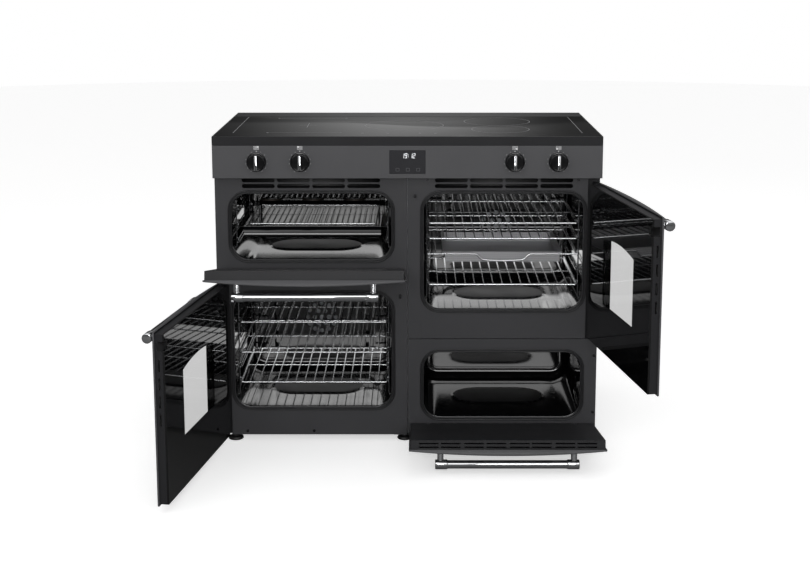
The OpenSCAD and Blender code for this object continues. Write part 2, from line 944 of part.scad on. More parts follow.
// A fixed tongue for one hinge arm, its bore on the hinge line, and its housing behind
module hinge_tongue(x, base) {
    z = base + pivot_rise;
    difference() {
        union() {
            translate([x - tongue_t / 2, drop_y, z - tongue_h / 2])
                cube([tongue_t, fascia_back - drop_y, tongue_h]);
            rod_x(x - tongue_t / 2, x + tongue_t / 2, drop_y, z, tongue_h / 2 + 1);
            translate([x - housing_w / 2, fascia_back, z - housing_h / 3])
                cube([housing_w, housing_d, housing_h]);
        }
        rod_x(x - tongue_t, x + tongue_t, drop_y, z, arm_pin_r + run_gap);
    }
}

module hinge_brackets() {
    color(enamel) {
        pin_bracket(-1, door_base + liner_end, 1);
        pin_bracket(-1, tall_left_top - liner_end, -1);
        pin_bracket(1, tall_right_base + liner_end, 1);
        pin_bracket(1, doors_top - liner_end, -1);
        for (s = [-1, 1]) {
            hinge_tongue(-col_x + s * arm_x, grill_base);
            hinge_tongue(col_x + s * arm_x, door_base);
        }
    }
}

// ---------- doors ----------

// Places a side-hung door, drawn closed, at its opening angle; s = -1 left, 1 right
module swung(s) {
    translate([s * pivot_x, pivot_y, 0])
        rotate([0, 0, s * side_open])
            translate([-s * pivot_x, -pivot_y, 0])
                children();
}

// Places a drop-down door, drawn closed, at its opening angle
module dropped(base, angle) {
    translate([0, drop_y, base + pivot_rise])
        rotate([angle, 0, 0])
            translate([0, -drop_y, -(base + pivot_rise)])
                children();
}

// Plan of the door's bowed outside, shrunk by t, back to the line y = back
module bow_shape(t, back) {
    intersection() {
        translate([0, bow_cy])
            circle(bow_r - t, $fn = 360);
        translate([-(door_w / 2 - t), crest_y - 1])
            square([door_w - 2 * t, back - crest_y + 1]);
    }
}

// The outer skin: a bowed pan with thin walls all round
module skin(cx, base, h) {
    translate([cx, 0, base])
        difference() {
            linear_extrude(h)
                bow_shape(0, door_edge + skin_lip);
            translate([0, 0, skin_t])
                linear_extrude(h - 2 * skin_t)
                    bow_shape(skin_t, door_edge + skin_lip + 1);
        }
}

lower_bend = 6;
notch_in = 1.5;
notch_h = 5;
bend_relief = 2.2;
bend_t = skin_t * (sqrt(2) - 1);

// The space under a bowed face of radius r whose lower edge is bent back at 45 degrees
module bent_bow(r, z0, bend, h) {
    translate([0, bow_cy, z0])
        cylinder(h = bend, r1 = r - bend, r2 = r, $fn = 360);
    translate([0, bow_cy, z0 + bend])
        cylinder(h = h - bend, r = r, $fn = 360);
}

// The skin of a drop-down door: its lower edge is bent back to clear the door below it as it
// turns, and notched for the two tongues
module short_skin(cx, base) {
    inner_w = door_w - 2 * skin_t;
    translate([cx, 0, base])
        difference() {
            intersection() {
                bent_bow(bow_r, 0, lower_bend, short_door_h);
                translate([-door_w / 2, crest_y - 1, 0])
                    cube([door_w, door_edge + skin_lip - crest_y + 1, short_door_h]);
            }
            intersection() {
                bent_bow(bow_r - skin_t, skin_t, lower_bend + bend_t - skin_t,
                    short_door_h - 2 * skin_t);
                translate([-inner_w / 2, crest_y - 1, skin_t])
                    cube([inner_w, door_edge + skin_lip - crest_y + 2,
                        short_door_h - 2 * skin_t]);
            }
            for (s = [-1, 1])
                translate([s * arm_x - tongue_t / 2 - cheek_gap, drop_y - tongue_h / 2 + notch_in, -1])
                    cube([tongue_t + 2 * cheek_gap, tongue_h, notch_h + 1]);
        }
}

window_rise = 26;
window_h = 255;
window_foot = 92;
pane_lap = 12;
outer_pane_t = 4;

module window_cut(cx, base) {
    translate([cx, 0, base + window_foot])
        upright(crest_y - 1, door_bow + 1)
            arched_shape(window_w, window_h, window_rise);
}

edge_slot_h = 31;
edge_slot_w = 5;
edge_slot_pitch = 47.5;
edge_slot_top = 72;
aperture_margin = 70;
aperture_side = 25;

// The inner frame of a door: a tray behind the skin with slotted edges
module liner(cx, base, h, back) {
    w = door_w - 2 * liner_side;
    z0 = base + liner_end;
    lh = h - 2 * liner_end;
    difference() {
        translate([cx - w / 2, liner_front, z0])
            cube([w, back - liner_front, lh]);
        translate([cx - w / 2 + liner_t, liner_front - 1, z0 + liner_t])
            cube([w - 2 * liner_t, back - liner_front + 1 - liner_t, lh - 2 * liner_t]);
    }
}

// The cut near the free upper corner where the door closes over the striker
module catch_cut(s, top) {
    x = s * (door_x0 + liner_side);
    translate([min(x - s, x + s * catch_slot), pivot_y - catch_front, top - catch_drop - catch_slot / 2])
        cube([catch_slot + 1, door_in - pivot_y + catch_front + 1, catch_slot]);
}

boss_w = 11;

// The liner of a side-hung door, with a bearing block for the pin at each end
module tall_liner(s, base) {
    cx = s * col_x;
    top = base + tall_door_h;
    difference() {
        union() {
            liner(cx, base, tall_door_h, door_in - pane_t);
            for (z = [base + liner_end, top - liner_end - boss_w])
                translate([s * pivot_x - boss_w / 2, pivot_y - boss_w / 2, z])
                    cube([boss_w, boss_w, boss_w]);
        }
        rod_z(s * pivot_x, pivot_y, base, top, pin_r + run_gap);
        translate([cx - cavity_w / 2 + aperture_side, pivot_y, base + aperture_margin])
            cube([cavity_w - 2 * aperture_side, door_in, tall_door_h - 2 * aperture_margin]);
        catch_cut(s, top);
        for (i = [0 : 3])
            translate([s * (door_x0 + liner_side) - 3, pivot_y - edge_slot_w / 2,
                top - edge_slot_top - edge_slot_h - i * edge_slot_pitch])
                cube([6, edge_slot_w, edge_slot_h]);
    }
}

// Two panes: the flat inner one, and the bowed outer one behind the window
module tall_glass(s, base) {
    cx = s * col_x;
    w = door_w - 2 * liner_side;
    difference() {
        translate([cx - w / 2, door_in - pane_t, base + liner_end])
            cube([w, pane_t, tall_door_h - 2 * liner_end]);
        catch_cut(s, base + tall_door_h);
    }
    translate([cx, 0, base + window_foot - pane_lap])
        linear_extrude(window_h + window_rise + 2 * pane_lap)
            intersection() {
                difference() {
                    translate([0, bow_cy])
                        circle(bow_r - skin_t - seat_gap, $fn = 360);
                    translate([0, bow_cy])
                        circle(bow_r - skin_t - seat_gap - outer_pane_t, $fn = 360);
                }
                translate([-window_w / 2 - pane_lap, crest_y])
                    square([window_w + 2 * pane_lap, door_bow + 2 * outer_pane_t + skin_t]);
            }
}

vent_w = 54;
vent_t = 3.5;
vent_pitch = 60;
vent_group = 124;
vent_row = 10;
vent_in = 19;

// The liner of a drop-down door: closed at the back, cut back behind the skin's lower bend, with
// slots for the two hinge arms
module short_liner(cx, base, vents) {
    top = base + short_door_h;
    difference() {
        liner(cx, base, short_door_h, door_in);
        translate([cx - door_w / 2, liner_front - 1, base])
            cube([door_w, bend_relief + 1, lower_bend + bend_t + seat_gap]);
        for (s = [-1, 1])
            translate([cx + s * arm_x - tongue_t / 2 - cheek_gap, liner_front - 1, base])
                cube([tongue_t + 2 * cheek_gap, door_in - liner_front + 2,
                    pivot_rise + tongue_h / 2 + cheek_t]);
        if (vents)
            for (g = [0 : 3], i = [0, 1], row = [0, 1])
                translate([cx + (g - 1.5) * vent_group + (i - 0.5) * vent_pitch,
                    door_in - vent_in + row * vent_row, top - liner_end - 2 * liner_t])
                    linear_extrude(4 * liner_t)
                        slot_shape(vent_w, vent_t);
    }
}

arm_top = 110;
arm_foot = 7;
web_rise = 16;
arm_rim = 1.5;

// A steel hinge arm inside the door: two cheeks joined by a web, with the pin across them
module hinge_arm(x, base) {
    z = base + pivot_rise;
    half = tongue_t / 2 + cheek_gap;
    back = door_in - liner_t;
    for (s = [-1, 1])
        translate([x + (s > 0 ? half : -half - cheek_t), cheek_y, z - arm_foot])
            cube([cheek_t, back - cheek_y, arm_top]);
    translate([x - half - cheek_t, cheek_y, z + web_rise])
        cube([2 * (half + cheek_t), cheek_t, arm_top - arm_foot - web_rise]);
    for (x0 = [x - half - cheek_t, x + half])
        rod_x(x0, x0 + cheek_t, drop_y, z, arm_pin_r + arm_rim);
    rod_x(x - half - cheek_t, x + half + cheek_t, drop_y, z, arm_pin_r);
}

module arms(cx, base) {
    for (s = [-1, 1])
        hinge_arm(cx + s * arm_x, base);
}

sleeve_len = 34;
sleeve_d = 27;
post_r = 8.5;
post_in = 14.5;

// A handle: a round bar with a thicker sleeve at each end, on two posts from the skin
module handle(cx, top) {
    z = top - handle_drop;
    y = crest_y - handle_out;
    x0 = cx - handle_len / 2;
    x1 = cx + handle_len / 2;
    rod_x(x0, x1, y, z, handle_d / 2);
    rod_x(x0, x0 + sleeve_len, y, z, sleeve_d / 2);
    rod_x(x1 - sleeve_len, x1, y, z, sleeve_d / 2);
    difference() {
        for (x = [x0 + post_in, x1 - post_in])
            rod_y(x, y, door_edge, z, post_r);
        translate([cx, bow_cy, z - 2 * post_r])
            cylinder(h = 4 * post_r, r = bow_r, $fn = 360);
    }
}

module door_left_upper_skin() {
    color(panel_grey)
        dropped(grill_base, grill_open)
            short_skin(-col_x, grill_base);
}

module door_left_upper_liner() {
    color(anthracite)
        dropped(grill_base, grill_open)
            short_liner(-col_x, grill_base, false);
}

module door_left_upper_arms() {
    color(zinc)
        dropped(grill_base, grill_open)
            arms(-col_x, grill_base);
}

module door_left_upper_handle() {
    color(chrome)
        dropped(grill_base, grill_open)
            handle(-col_x, doors_top);
}

module door_right_lower_skin() {
    color(panel_grey)
        dropped(door_base, low_open)
            short_skin(col_x, door_base);
}

module door_right_lower_liner() {
    color(anthracite)
        dropped(door_base, low_open)
            short_liner(col_x, door_base, true);
}

module door_right_lower_arms() {
    color(zinc)
        dropped(door_base, low_open)
            arms(col_x, door_base);
}

module door_right_lower_handle() {
    color(chrome)
        dropped(door_base, low_open)
            handle(col_x, low_door_top);
}

module tall_skin(s, base) {
    difference() {
        skin(s * col_x, base, tall_door_h);
        window_cut(s * col_x, base);
    }
}

module door_left_lower_skin() {
    color(panel_grey)
        swung(-1)
            tall_skin(-1, door_base);
}

module door_left_lower_liner() {
    color(anthracite)
        swung(-1)
            tall_liner(-1, door_base);
}

module door_left_lower_glass() {
    color(black_glass)
        swung(-1)
            tall_glass(-1, door_base);
}

module door_left_lower_handle() {
    color(chrome)
        swung(-1)
            handle(-col_x, tall_left_top);
}

module door_right_upper_skin() {
    color(panel_grey)
        swung(1)
            tall_skin(1, tall_right_base);
}

module door_right_upper_liner() {
    color(anthracite)
        swung(1)
            tall_liner(1, tall_right_base);
}

module door_right_upper_glass() {
    color(black_glass)
        swung(1)
            tall_glass(1, tall_right_base);
}

module door_right_upper_handle() {
    color(chrome)
        swung(1)
            handle(col_x, doors_top);
}

// ---------- shelves, tray and grill pan ----------

// A wire shelf: a frame of four rods, thin rods from front to back and one brace under them
module shelf(cx, z) {
    color(chrome) {
        for (y = [shelf_front, shelf_back])
            rod_x(cx - shelf_half - side_rod_r / 2, cx + shelf_half + side_rod_r / 2, y, z,
                shelf_rod_r);
        for (s = [-1, 1])
            rod_y(cx + s * shelf_half, shelf_front, shelf_back, z, side_rod_r);
        for (i = [1 : shelf_rods])
            rod_y(cx - shelf_half + i * 2 * shelf_half / (shelf_rods + 1),
                shelf_front, shelf_back, z + 1, thin_rod_r);
        rod_x(cx - shelf_half, cx + shelf_half, (shelf_front + shelf_back) / 2, z - 1.4, 2);
    }
}

module shelf_left_1() { shelf(-col_x, left_z + first_level); }
module shelf_left_2() { shelf(-col_x, left_z + first_level + 2 * level_pitch); }
module shelf_left_3() { shelf(-col_x, left_z + first_level + 4 * level_pitch); }
module shelf_right_1() { shelf(col_x, right_z + first_level); }
module shelf_right_2() { shelf(col_x, right_z + first_level + 3 * level_pitch); }
module shelf_right_3() { shelf(col_x, right_z + first_level + 4 * level_pitch); }

tray_z = right_z + first_level + 2 * level_pitch;
tray_w = 331;
tray_d = 290;
tray_h = 28;
tray_wall = 1.2;
tray_rim = 8;
tray_y = shelf_front + 16;
cradle_r = 2.2;
cradle_x = tray_w / 2 + 1 + cradle_r;
dip_half = 50;
dip_drop = 18;
dip_post_r = 2.6;

// A wire cradle on the runners: side rods, a rear rod, and a front rod that dips as a grip
module tray_frame() {
    side = shelf_half + side_rod_r / 2;
    color(chrome) {
        for (s = [-1, 1]) {
            rod_y(col_x + s * shelf_half, shelf_front, shelf_back, tray_z, side_rod_r);
            rod_x(col_x + min(s * dip_half, s * side), col_x + max(s * dip_half, s * side),
                shelf_front, tray_z, cradle_r);
            rod_z(col_x + s * dip_half, shelf_front, tray_z - dip_drop, tray_z + cradle_r,
                dip_post_r);
            rod_y(col_x + s * cradle_x, shelf_front, shelf_back, tray_z, cradle_r - 0.4);
        }
        rod_x(col_x - dip_half, col_x + dip_half, shelf_front, tray_z - dip_drop, cradle_r);
        rod_x(col_x - side, col_x + side, shelf_back, tray_z, shelf_rod_r);
    }
}

// A shallow tray that hangs in the cradle by its rim
module tray() {
    rim_z = tray_z + cradle_r - 0.4 + seat_gap;
    color("#9a9a9c")
        difference() {
            union() {
                translate([col_x - tray_w / 2, tray_y, rim_z - tray_h])
                    cube([tray_w, tray_d, tray_h]);
                translate([col_x - tray_w / 2 - tray_rim, tray_y, rim_z])
                    cube([tray_w + 2 * tray_rim, tray_d, tray_wall]);
            }
            translate([col_x - tray_w / 2 + tray_wall, tray_y + tray_wall,
                rim_z - tray_h + tray_wall])
                cube([tray_w - 2 * tray_wall, tray_d - 2 * tray_wall, tray_h]);
        }
}

pan_w = 396;
pan_d = 330;
pan_h = 30;
pan_z = grill_z + grill_level + level_pitch;
trivet_r = 1.5;
trivet_rods = 21;

// The grill pan: a deep tray whose side flanges ride on the runners
module grill_pan() {
    color(enamel)
        difference() {
            union() {
                translate([-col_x - pan_w / 2, shelf_front + 8, pan_z - pan_h])
                    cube([pan_w, pan_d, pan_h]);
                translate([-col_x - shelf_half - side_rod_r, shelf_front + 8,
                    pan_z - side_rod_r])
                    cube([2 * (shelf_half + side_rod_r), pan_d, sheet]);
            }
            translate([-col_x - pan_w / 2 + sheet, shelf_front + 8 + sheet,
                pan_z - pan_h + sheet])
                cube([pan_w - 2 * sheet, pan_d - 2 * sheet, pan_h]);
        }
}

// A raised grid that stands in the grill pan on four legs
module grill_trivet() {
    half = pan_w / 2 - 14;
    y0 = shelf_front + 8 + 14;
    y1 = shelf_front + 8 + pan_d - 14;
    z = pan_z + 4;
    color(chrome) {
        for (y = [y0, y1])
            rod_x(-col_x - half, -col_x + half, y, z, 2.4);
        for (s = [-1, 1])
            rod_y(-col_x + s * half, y0, y1, z, 2);
        for (i = [1 : trivet_rods])
            rod_y(-col_x - half + i * 2 * half / (trivet_rods + 1), y0, y1, z, trivet_r);
        for (s = [-1, 1], y = [y0 + 10, y1 - 10])
            rod_z(-col_x + s * half, y, pan_z - pan_h + sheet, z, 2.6);
    }
}

base_pan();
side_panel(-1);  // side_panel_left
side_panel(1);  // side_panel_right
back_panel();
centre_wall();
fascia_left_upper();
fascia_left_lower();
fascia_right_upper();
fascia_right_lower();
control_panel();
clock_module();
hob_frame();
hob_glass();
cavity_left_upper();
cavity_left_lower();
cavity_right_upper();
cavity_right_lower();
door_seals();
side_racks();
heating_elements();
fan_baffles();
oven_lamps();
induction_coils();
terminal_box();
hinge_brackets();
fascia_fixings();
fan_motors();
levelling_feet();
fan_left();
fan_right();
knob_1();
knob_2();
knob_3();
knob_4();
door_left_upper_skin();
door_left_upper_liner();
door_left_upper_arms();
door_left_upper_handle();
door_right_lower_skin();
door_right_lower_liner();
door_right_lower_arms();
door_right_lower_handle();
door_left_lower_skin();
door_left_lower_liner();
door_left_lower_glass();
door_left_lower_handle();
door_right_upper_skin();
door_right_upper_liner();
door_right_upper_glass();
door_right_upper_handle();
shelf_left_1();
shelf_left_2();
shelf_left_3();
shelf_right_1();
shelf_right_2();
shelf_right_3();
tray_frame();
tray();
grill_pan();
grill_trivet();
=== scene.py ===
"""Finishes of a range cooker: satin enamel, black vitreous ovens, ceramic glass and chrome."""

import json
import math

import bmesh
import bpy
import numpy as np
from bpy.props import FloatProperty, FloatVectorProperty, PointerProperty, StringProperty
from bpy.types import Operator, Panel, PropertyGroup
from mathutils import Matrix, Vector


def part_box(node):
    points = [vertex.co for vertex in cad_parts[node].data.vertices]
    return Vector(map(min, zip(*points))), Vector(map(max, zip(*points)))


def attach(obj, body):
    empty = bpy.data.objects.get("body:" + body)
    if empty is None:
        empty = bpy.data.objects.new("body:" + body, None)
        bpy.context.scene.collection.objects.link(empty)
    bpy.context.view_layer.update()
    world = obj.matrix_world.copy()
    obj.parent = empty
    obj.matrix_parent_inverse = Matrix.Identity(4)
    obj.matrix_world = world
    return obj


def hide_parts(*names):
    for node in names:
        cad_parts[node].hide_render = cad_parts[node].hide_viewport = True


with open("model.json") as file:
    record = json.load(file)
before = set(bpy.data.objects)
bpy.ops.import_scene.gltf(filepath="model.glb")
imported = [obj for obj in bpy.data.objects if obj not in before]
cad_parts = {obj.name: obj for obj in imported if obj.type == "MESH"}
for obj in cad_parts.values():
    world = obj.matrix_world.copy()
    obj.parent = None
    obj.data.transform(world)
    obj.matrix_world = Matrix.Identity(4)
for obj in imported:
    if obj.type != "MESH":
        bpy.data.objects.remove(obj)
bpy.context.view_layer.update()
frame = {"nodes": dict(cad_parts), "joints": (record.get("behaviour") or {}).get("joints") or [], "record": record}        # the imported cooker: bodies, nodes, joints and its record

bl_info = {
    "name": "Range cooker finishes",
    "version": (1, 0, 0),
    "blender": (4, 5, 0),
    "location": "3D View > Sidebar > Cooker",
    "description": "Dresses a packed range cooker and sets it in a plain studio",
    "category": "Object",
}

MM = 0.001
BODY_OF = {node: body for body, nodes in frame["record"]["behaviour"]["bodies"].items()
           for node in nodes}
JOINTS = {joint["name"]: joint for joint in frame["joints"]}


# ---------- numbers ----------

def linear(code):
    """A hex colour in sRGB turned to the linear values that a shader takes."""
    values = np.array([int(code[i:i + 2], 16) for i in (1, 3, 5)]) / 255
    low, high = values / 12.92, ((values + 0.055) / 1.055) ** 2.4
    return tuple(float(v) for v in np.where(values <= 0.04045, low, high))


def box_of(node):
    """Lowest and highest corner of a node at rest, as two arrays."""
    low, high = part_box(node)
    return np.array(low), np.array(high)


def turn(points, joint, share):
    """Points turned about a hinge by a share of its lower limit: 1 closes a door, -1 opens it."""
    data = JOINTS[joint]
    pivot = np.array(data["pos_m"])
    angle = math.radians(data["range_deg"][0]) * share
    matrix = np.array(Matrix.Rotation(angle, 3, Vector(data["axis"])))
    return (points - pivot) @ matrix.T + pivot


def closed_box(node, joint):
    """Lowest and highest corner of a door's node when the door is shut."""
    mesh = frame["nodes"][node].data
    points = np.empty(len(mesh.vertices) * 3, np.float32)
    mesh.vertices.foreach_get("co", points)
    shut = turn(points.reshape(-1, 3).astype(float), joint, 1)
    return shut.min(axis=0), shut.max(axis=0)


# ---------- shapes: each is (points, faces) ----------

def grid(points, wrap_rows=False, wrap_columns=False):
    """Quads over an array of rows and columns of points; either way may close on itself."""
    rows, columns = points.shape[:2]
    down = np.arange(rows if wrap_rows else rows - 1)[:, None]
    along = np.arange(columns if wrap_columns else columns - 1)[None, :]
    a = down * columns + along
    b = down * columns + (along + 1) % columns
    c = ((down + 1) % rows) * columns + (along + 1) % columns
    d = ((down + 1) % rows) * columns + along
    faces = np.stack([a, b, c, d], axis=-1).reshape(-1, 4)
    return points.reshape(-1, 3), faces.tolist()


def joined(*shapes):
    """Several shapes as one, the face indices moved on past the points before them."""
    points, faces, start = [], [], 0
    for shape_points, shape_faces in shapes:
        points.append(shape_points)
        faces += [[i + start for i in face] for face in shape_faces]
        start += len(shape_points)
    return np.concatenate(points), faces


def copies(shape, offsets):
    """The same shape once at each offset: its points plus the offset."""
    points, faces = shape
    offsets = np.asarray(offsets, float)
    placed = (points[None, :, :] + offsets[:, None, :]).reshape(-1, 3)
    steps = np.arange(len(offsets)) * len(points)
    return placed, [[i + int(step) for i in face] for step in steps for face in faces]


def capped(shape, columns):
    """Closes both ends of a swept grid with a flat face on its first and its last ring."""
    points, faces = shape
    last = len(points) - columns
    return points, faces + [list(range(columns))[::-1], list(range(last, last + columns))]


def frames_along(path, normal, closed):
    """Across and up directions along a flat path: across is tangent x plane normal."""
    if closed:
        tangent = np.roll(path, -1, axis=0) - np.roll(path, 1, axis=0)
    else:
        tangent = np.gradient(path, axis=0)
    tangent /= np.linalg.norm(tangent, axis=1, keepdims=True)
    up = np.broadcast_to(np.asarray(normal, float), tangent.shape)
    across = np.cross(tangent, up)
    return across / np.linalg.norm(across, axis=1, keepdims=True), up


def rod(path, radius, normal, sides=10, closed=False, flat=1.0):
    """A round bar along a flat path: each ring is centre + r (cos a across + flat sin a up)."""
    path = np.asarray(path, float)
    across, up = frames_along(path, normal, closed)
    angle = np.linspace(0, 2 * np.pi, sides, endpoint=False)
    rings = path[:, None, :] + radius * (np.cos(angle)[None, :, None] * across[:, None, :]
                                         + flat * np.sin(angle)[None, :, None] * up[:, None, :])
    shape = grid(rings, wrap_rows=closed, wrap_columns=True)
    return shape if closed else capped(shape, sides)


def bent(corners, radius, steps=5, closed=False):
    """A polyline with its corners rounded: each corner is a quadratic curve between the points
    that lie one radius before it and after it."""
    corners = np.asarray(corners, float)
    before, after = np.roll(corners, 1, axis=0), np.roll(corners, -1, axis=0)
    start = corners + unit(before - corners) * radius
    end = corners + unit(after - corners) * radius
    t = np.linspace(0, 1, steps)[None, :, None]
    curve = ((1 - t) ** 2 * start[:, None] + 2 * t * (1 - t) * corners[:, None]
             + t ** 2 * end[:, None])
    if closed:
        return curve.reshape(-1, corners.shape[1])
    return np.concatenate([corners[:1], curve[1:-1].reshape(-1, corners.shape[1]), corners[-1:]])


def unit(vectors):
    """Vectors divided by their own lengths."""
    return vectors / np.maximum(np.linalg.norm(vectors, axis=-1, keepdims=True), 1e-12)


def turned(profile, start, axis, sides):
    """A turned piece: each profile row is (r, d), and its ring is start + d axis + r (cos a side +
    sin a other), with side and other at right angles to the axis."""
    profile = np.asarray(profile, float)
    axis = unit(np.asarray(axis, float))
    side = unit(np.cross(axis, [0.3, 0.5, 0.8]))
    other = np.cross(axis, side)
    angle = np.linspace(0, 2 * np.pi, sides, endpoint=False)
    wheel = np.cos(angle)[:, None] * side + np.sin(angle)[:, None] * other
    rings = (np.asarray(start, float) + profile[:, 1, None, None] * axis
             + profile[:, 0, None, None] * wheel[None])
    return capped(grid(rings, wrap_columns=True), sides)


def rounded(width, height, radius, arc=8, across=6, up=4):
    """Outline of a rounded rectangle in two coordinates: quarter circles, centre + r (cos a, sin
    a), joined by straight runs, with the same number of points whatever its size."""
    radius = max(radius, 0.01 * MM)
    x, z = width / 2 - radius, height / 2 - radius
    quarter = np.linspace(0, np.pi / 2, arc)
    curves = []
    for first, (cx, cz) in enumerate(((x, z), (-x, z), (-x, -z), (x, -z))):
        angle = quarter + first * np.pi / 2
        curves.append(np.stack([cx + radius * np.cos(angle), cz + radius * np.sin(angle)], 1))
    outline = []
    for k, curve in enumerate(curves):
        following, count = curves[(k + 1) % 4], across if k % 2 == 0 else up
        t = np.linspace(0, 1, count + 2)[1:-1, None]
        outline += [curve, curve[-1] + (following[0] - curve[-1]) * t]
    return np.concatenate(outline)


def arched(width, foot, height, rise, across, up):
    """Outline of a window in two coordinates, from its lower right corner anticlockwise: up the
    right side, along the arc z = top + rise (1 - (x / half width)^2), down the left side and back
    along the foot."""
    half, top = width / 2, foot + height
    x = np.linspace(half, -half, across, endpoint=False)
    arc = top + rise * (1 - (x / half) ** 2)
    side = np.linspace(foot, top, up, endpoint=False)
    run = np.linspace(-half, half, across, endpoint=False)
    return np.concatenate([
        np.stack([np.full(up, half), side], 1), np.stack([x, arc], 1),
        np.stack([np.full(up, -half), side[::-1] + (top - foot) / up], 1),
        np.stack([run, np.full(across, foot)], 1)])


# ---------- pieces ----------

CREASE = math.radians(40)        # edges sharper than this stay sharp and may be bevelled
FLAT = math.radians(0.6)         # faces that differ less than this count as one flat face
WELD = 0.001 * MM                # points nearer than this become one


def aim_faces(work, point, away):
    """Turns an open shell inside out where its faces, weighed by area, look the wrong way: they
    should look away from the point, or else towards it."""
    centre = Vector(point)
    spread = sum(f.normal.dot(f.calc_center_median() - centre) * f.calc_area() for f in work.faces)
    if (spread < 0) == away:
        bmesh.ops.reverse_faces(work, faces=work.faces)


def piece(name, shapes, materials, body, nodes=(), slot=None, inside=None, before=None, wall=0,
          solid=True):
    """Makes one object from shapes, one material for each, riding on a body and standing for
    nodes. The faces of an open shape look away from a point inside it, or towards one before
    it."""
    points, faces = joined(*shapes)
    mesh = bpy.data.meshes.new(name)
    mesh.from_pydata(points.tolist(), [], faces)
    counts = [len(shape[1]) for shape in shapes]
    for material in materials:
        mesh.materials.append(material)
    if len(materials) > 1:
        index = np.repeat(np.arange(len(shapes)), counts).astype(np.int32)
        mesh.polygons.foreach_set("material_index", np.minimum(index, len(materials) - 1))
    work = bmesh.new()
    work.from_mesh(mesh)
    bmesh.ops.remove_doubles(work, verts=work.verts, dist=WELD)
    if solid:
        bmesh.ops.recalc_face_normals(work, faces=work.faces)
    if inside is not None:
        aim_faces(work, inside, away=True)
    if before is not None:
        aim_faces(work, before, away=False)
    work.to_mesh(mesh)
    work.free()
    return placed(name, mesh, body, nodes, slot, wall)


def placed(name, mesh, body, nodes, slot=None, wall=0, bevel=0):
    """Links a mesh as an object at the origin, with its wall and bevel, and ties it to the
    frame."""
    mesh.shade_smooth()
    mesh.set_sharp_from_angle(angle=CREASE)
    made = bpy.data.objects.new(name, mesh)
    bpy.context.scene.collection.objects.link(made)
    if wall:
        thick = made.modifiers.new("wall", "SOLIDIFY")
        thick.thickness = wall
        thick.offset = -1
        thick.use_even_offset = True
    if bevel:
        edge = made.modifiers.new("edge", "BEVEL")
        edge.width = bevel
        edge.segments = 2
        edge.limit_method = "ANGLE"
        edge.angle_limit = CREASE
        edge.harden_normals = True
    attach(made, body)
    if nodes:
        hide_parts(*nodes)
    return made


def dressed(node, material, bevel=0.6 * MM):
    """A merged copy of a node's own mesh, its flat faces joined, with softened edges."""
    source = frame["nodes"][node].data
    mesh = source.copy()
    mesh.materials.clear()
    mesh.materials.append(material)
    for attribute in [a.name for a in mesh.attributes if a.name.startswith("custom")]:
        mesh.attributes.remove(mesh.attributes[attribute])
    work = bmesh.new()
    work.from_mesh(mesh)
    bmesh.ops.remove_doubles(work, verts=work.verts, dist=WELD)
    bmesh.ops.dissolve_limit(work, angle_limit=FLAT, verts=work.verts, edges=work.edges)
    bmesh.ops.connect_verts_concave(work, faces=work.faces)
    work.to_mesh(mesh)
    work.free()
    return placed(node + "_finished", mesh, BODY_OF[node], [node], bevel=bevel)


# ---------- materials ----------

def add(tree, kind, inputs=None, **settings):
    """Adds a node with its settings. An input takes a value, a socket to link from, or a node,
    whose first live output is then linked."""
    node = tree.nodes.new(kind)
    for name, value in settings.items():
        setattr(node, name, value)
    for name, value in (inputs or {}).items():
        if isinstance(value, bpy.types.Node):
            value = next(socket for socket in value.outputs if socket.enabled)
        if isinstance(value, bpy.types.NodeSocket):
            tree.links.new(value, node.inputs[name])
        else:
            node.inputs[name].default_value = value
    return node


def start(name, **values):
    """A new material with its shader's sockets set, its tree, its shader and object
    coordinates."""
    made = bpy.data.materials.new(name)
    made.use_nodes = True
    tree = made.node_tree
    shader = tree.nodes["Principled BSDF"]
    for key, value in values.items():
        shader.inputs[key].default_value = value
    place = add(tree, "ShaderNodeTexCoord").outputs["Object"]
    return made, tree, shader, place


def varied(tree, shader, pattern, dark, light, rough=None):
    """Lets a pattern that runs from 0 to 1 lead the colour from dark to light and, with a pair of
    values, the roughness from the first to the second."""
    colour = add(tree, "ShaderNodeMix", {"Factor": pattern, "A": (*dark, 1), "B": (*light, 1)},
                 data_type="RGBA")
    tree.links.new(colour.outputs["Result"], shader.inputs["Base Color"])
    if rough:
        spread = add(tree, "ShaderNodeMapRange", {"Value": pattern, "To Min": rough[0],
                                                  "To Max": rough[1]})
        tree.links.new(spread.outputs["Result"], shader.inputs["Roughness"])


def shades(colour, spread):
    """A darker and a lighter form of a linear colour."""
    return (tuple(c * (1 - spread) for c in colour), tuple(c * (1 + spread) for c in colour))


def satin_enamel(name, colour, roughness):
    """Satin powder coat on sheet steel: a soft sheen broken by a fine orange peel of about 1.5 mm
    and by faint clouds of shade a hand across."""
    made, tree, shader, place = start(name, **{"IOR": 1.5, "Specular IOR Level": 0.2})
    clouds = add(tree, "ShaderNodeTexNoise", {"Vector": place, "Scale": 1 / (90 * MM), "Detail": 3})
    peel = add(tree, "ShaderNodeTexNoise", {"Vector": place, "Scale": 1 / (1.5 * MM), "Detail": 2})
    relief = add(tree, "ShaderNodeBump", {"Height": peel, "Distance": 0.02 * MM, "Strength": 0.6})
    tree.links.new(relief.outputs["Normal"], shader.inputs["Normal"])
    varied(tree, shader, clouds, *shades(colour, 0.06), (roughness - 0.04, roughness + 0.05))
    return made


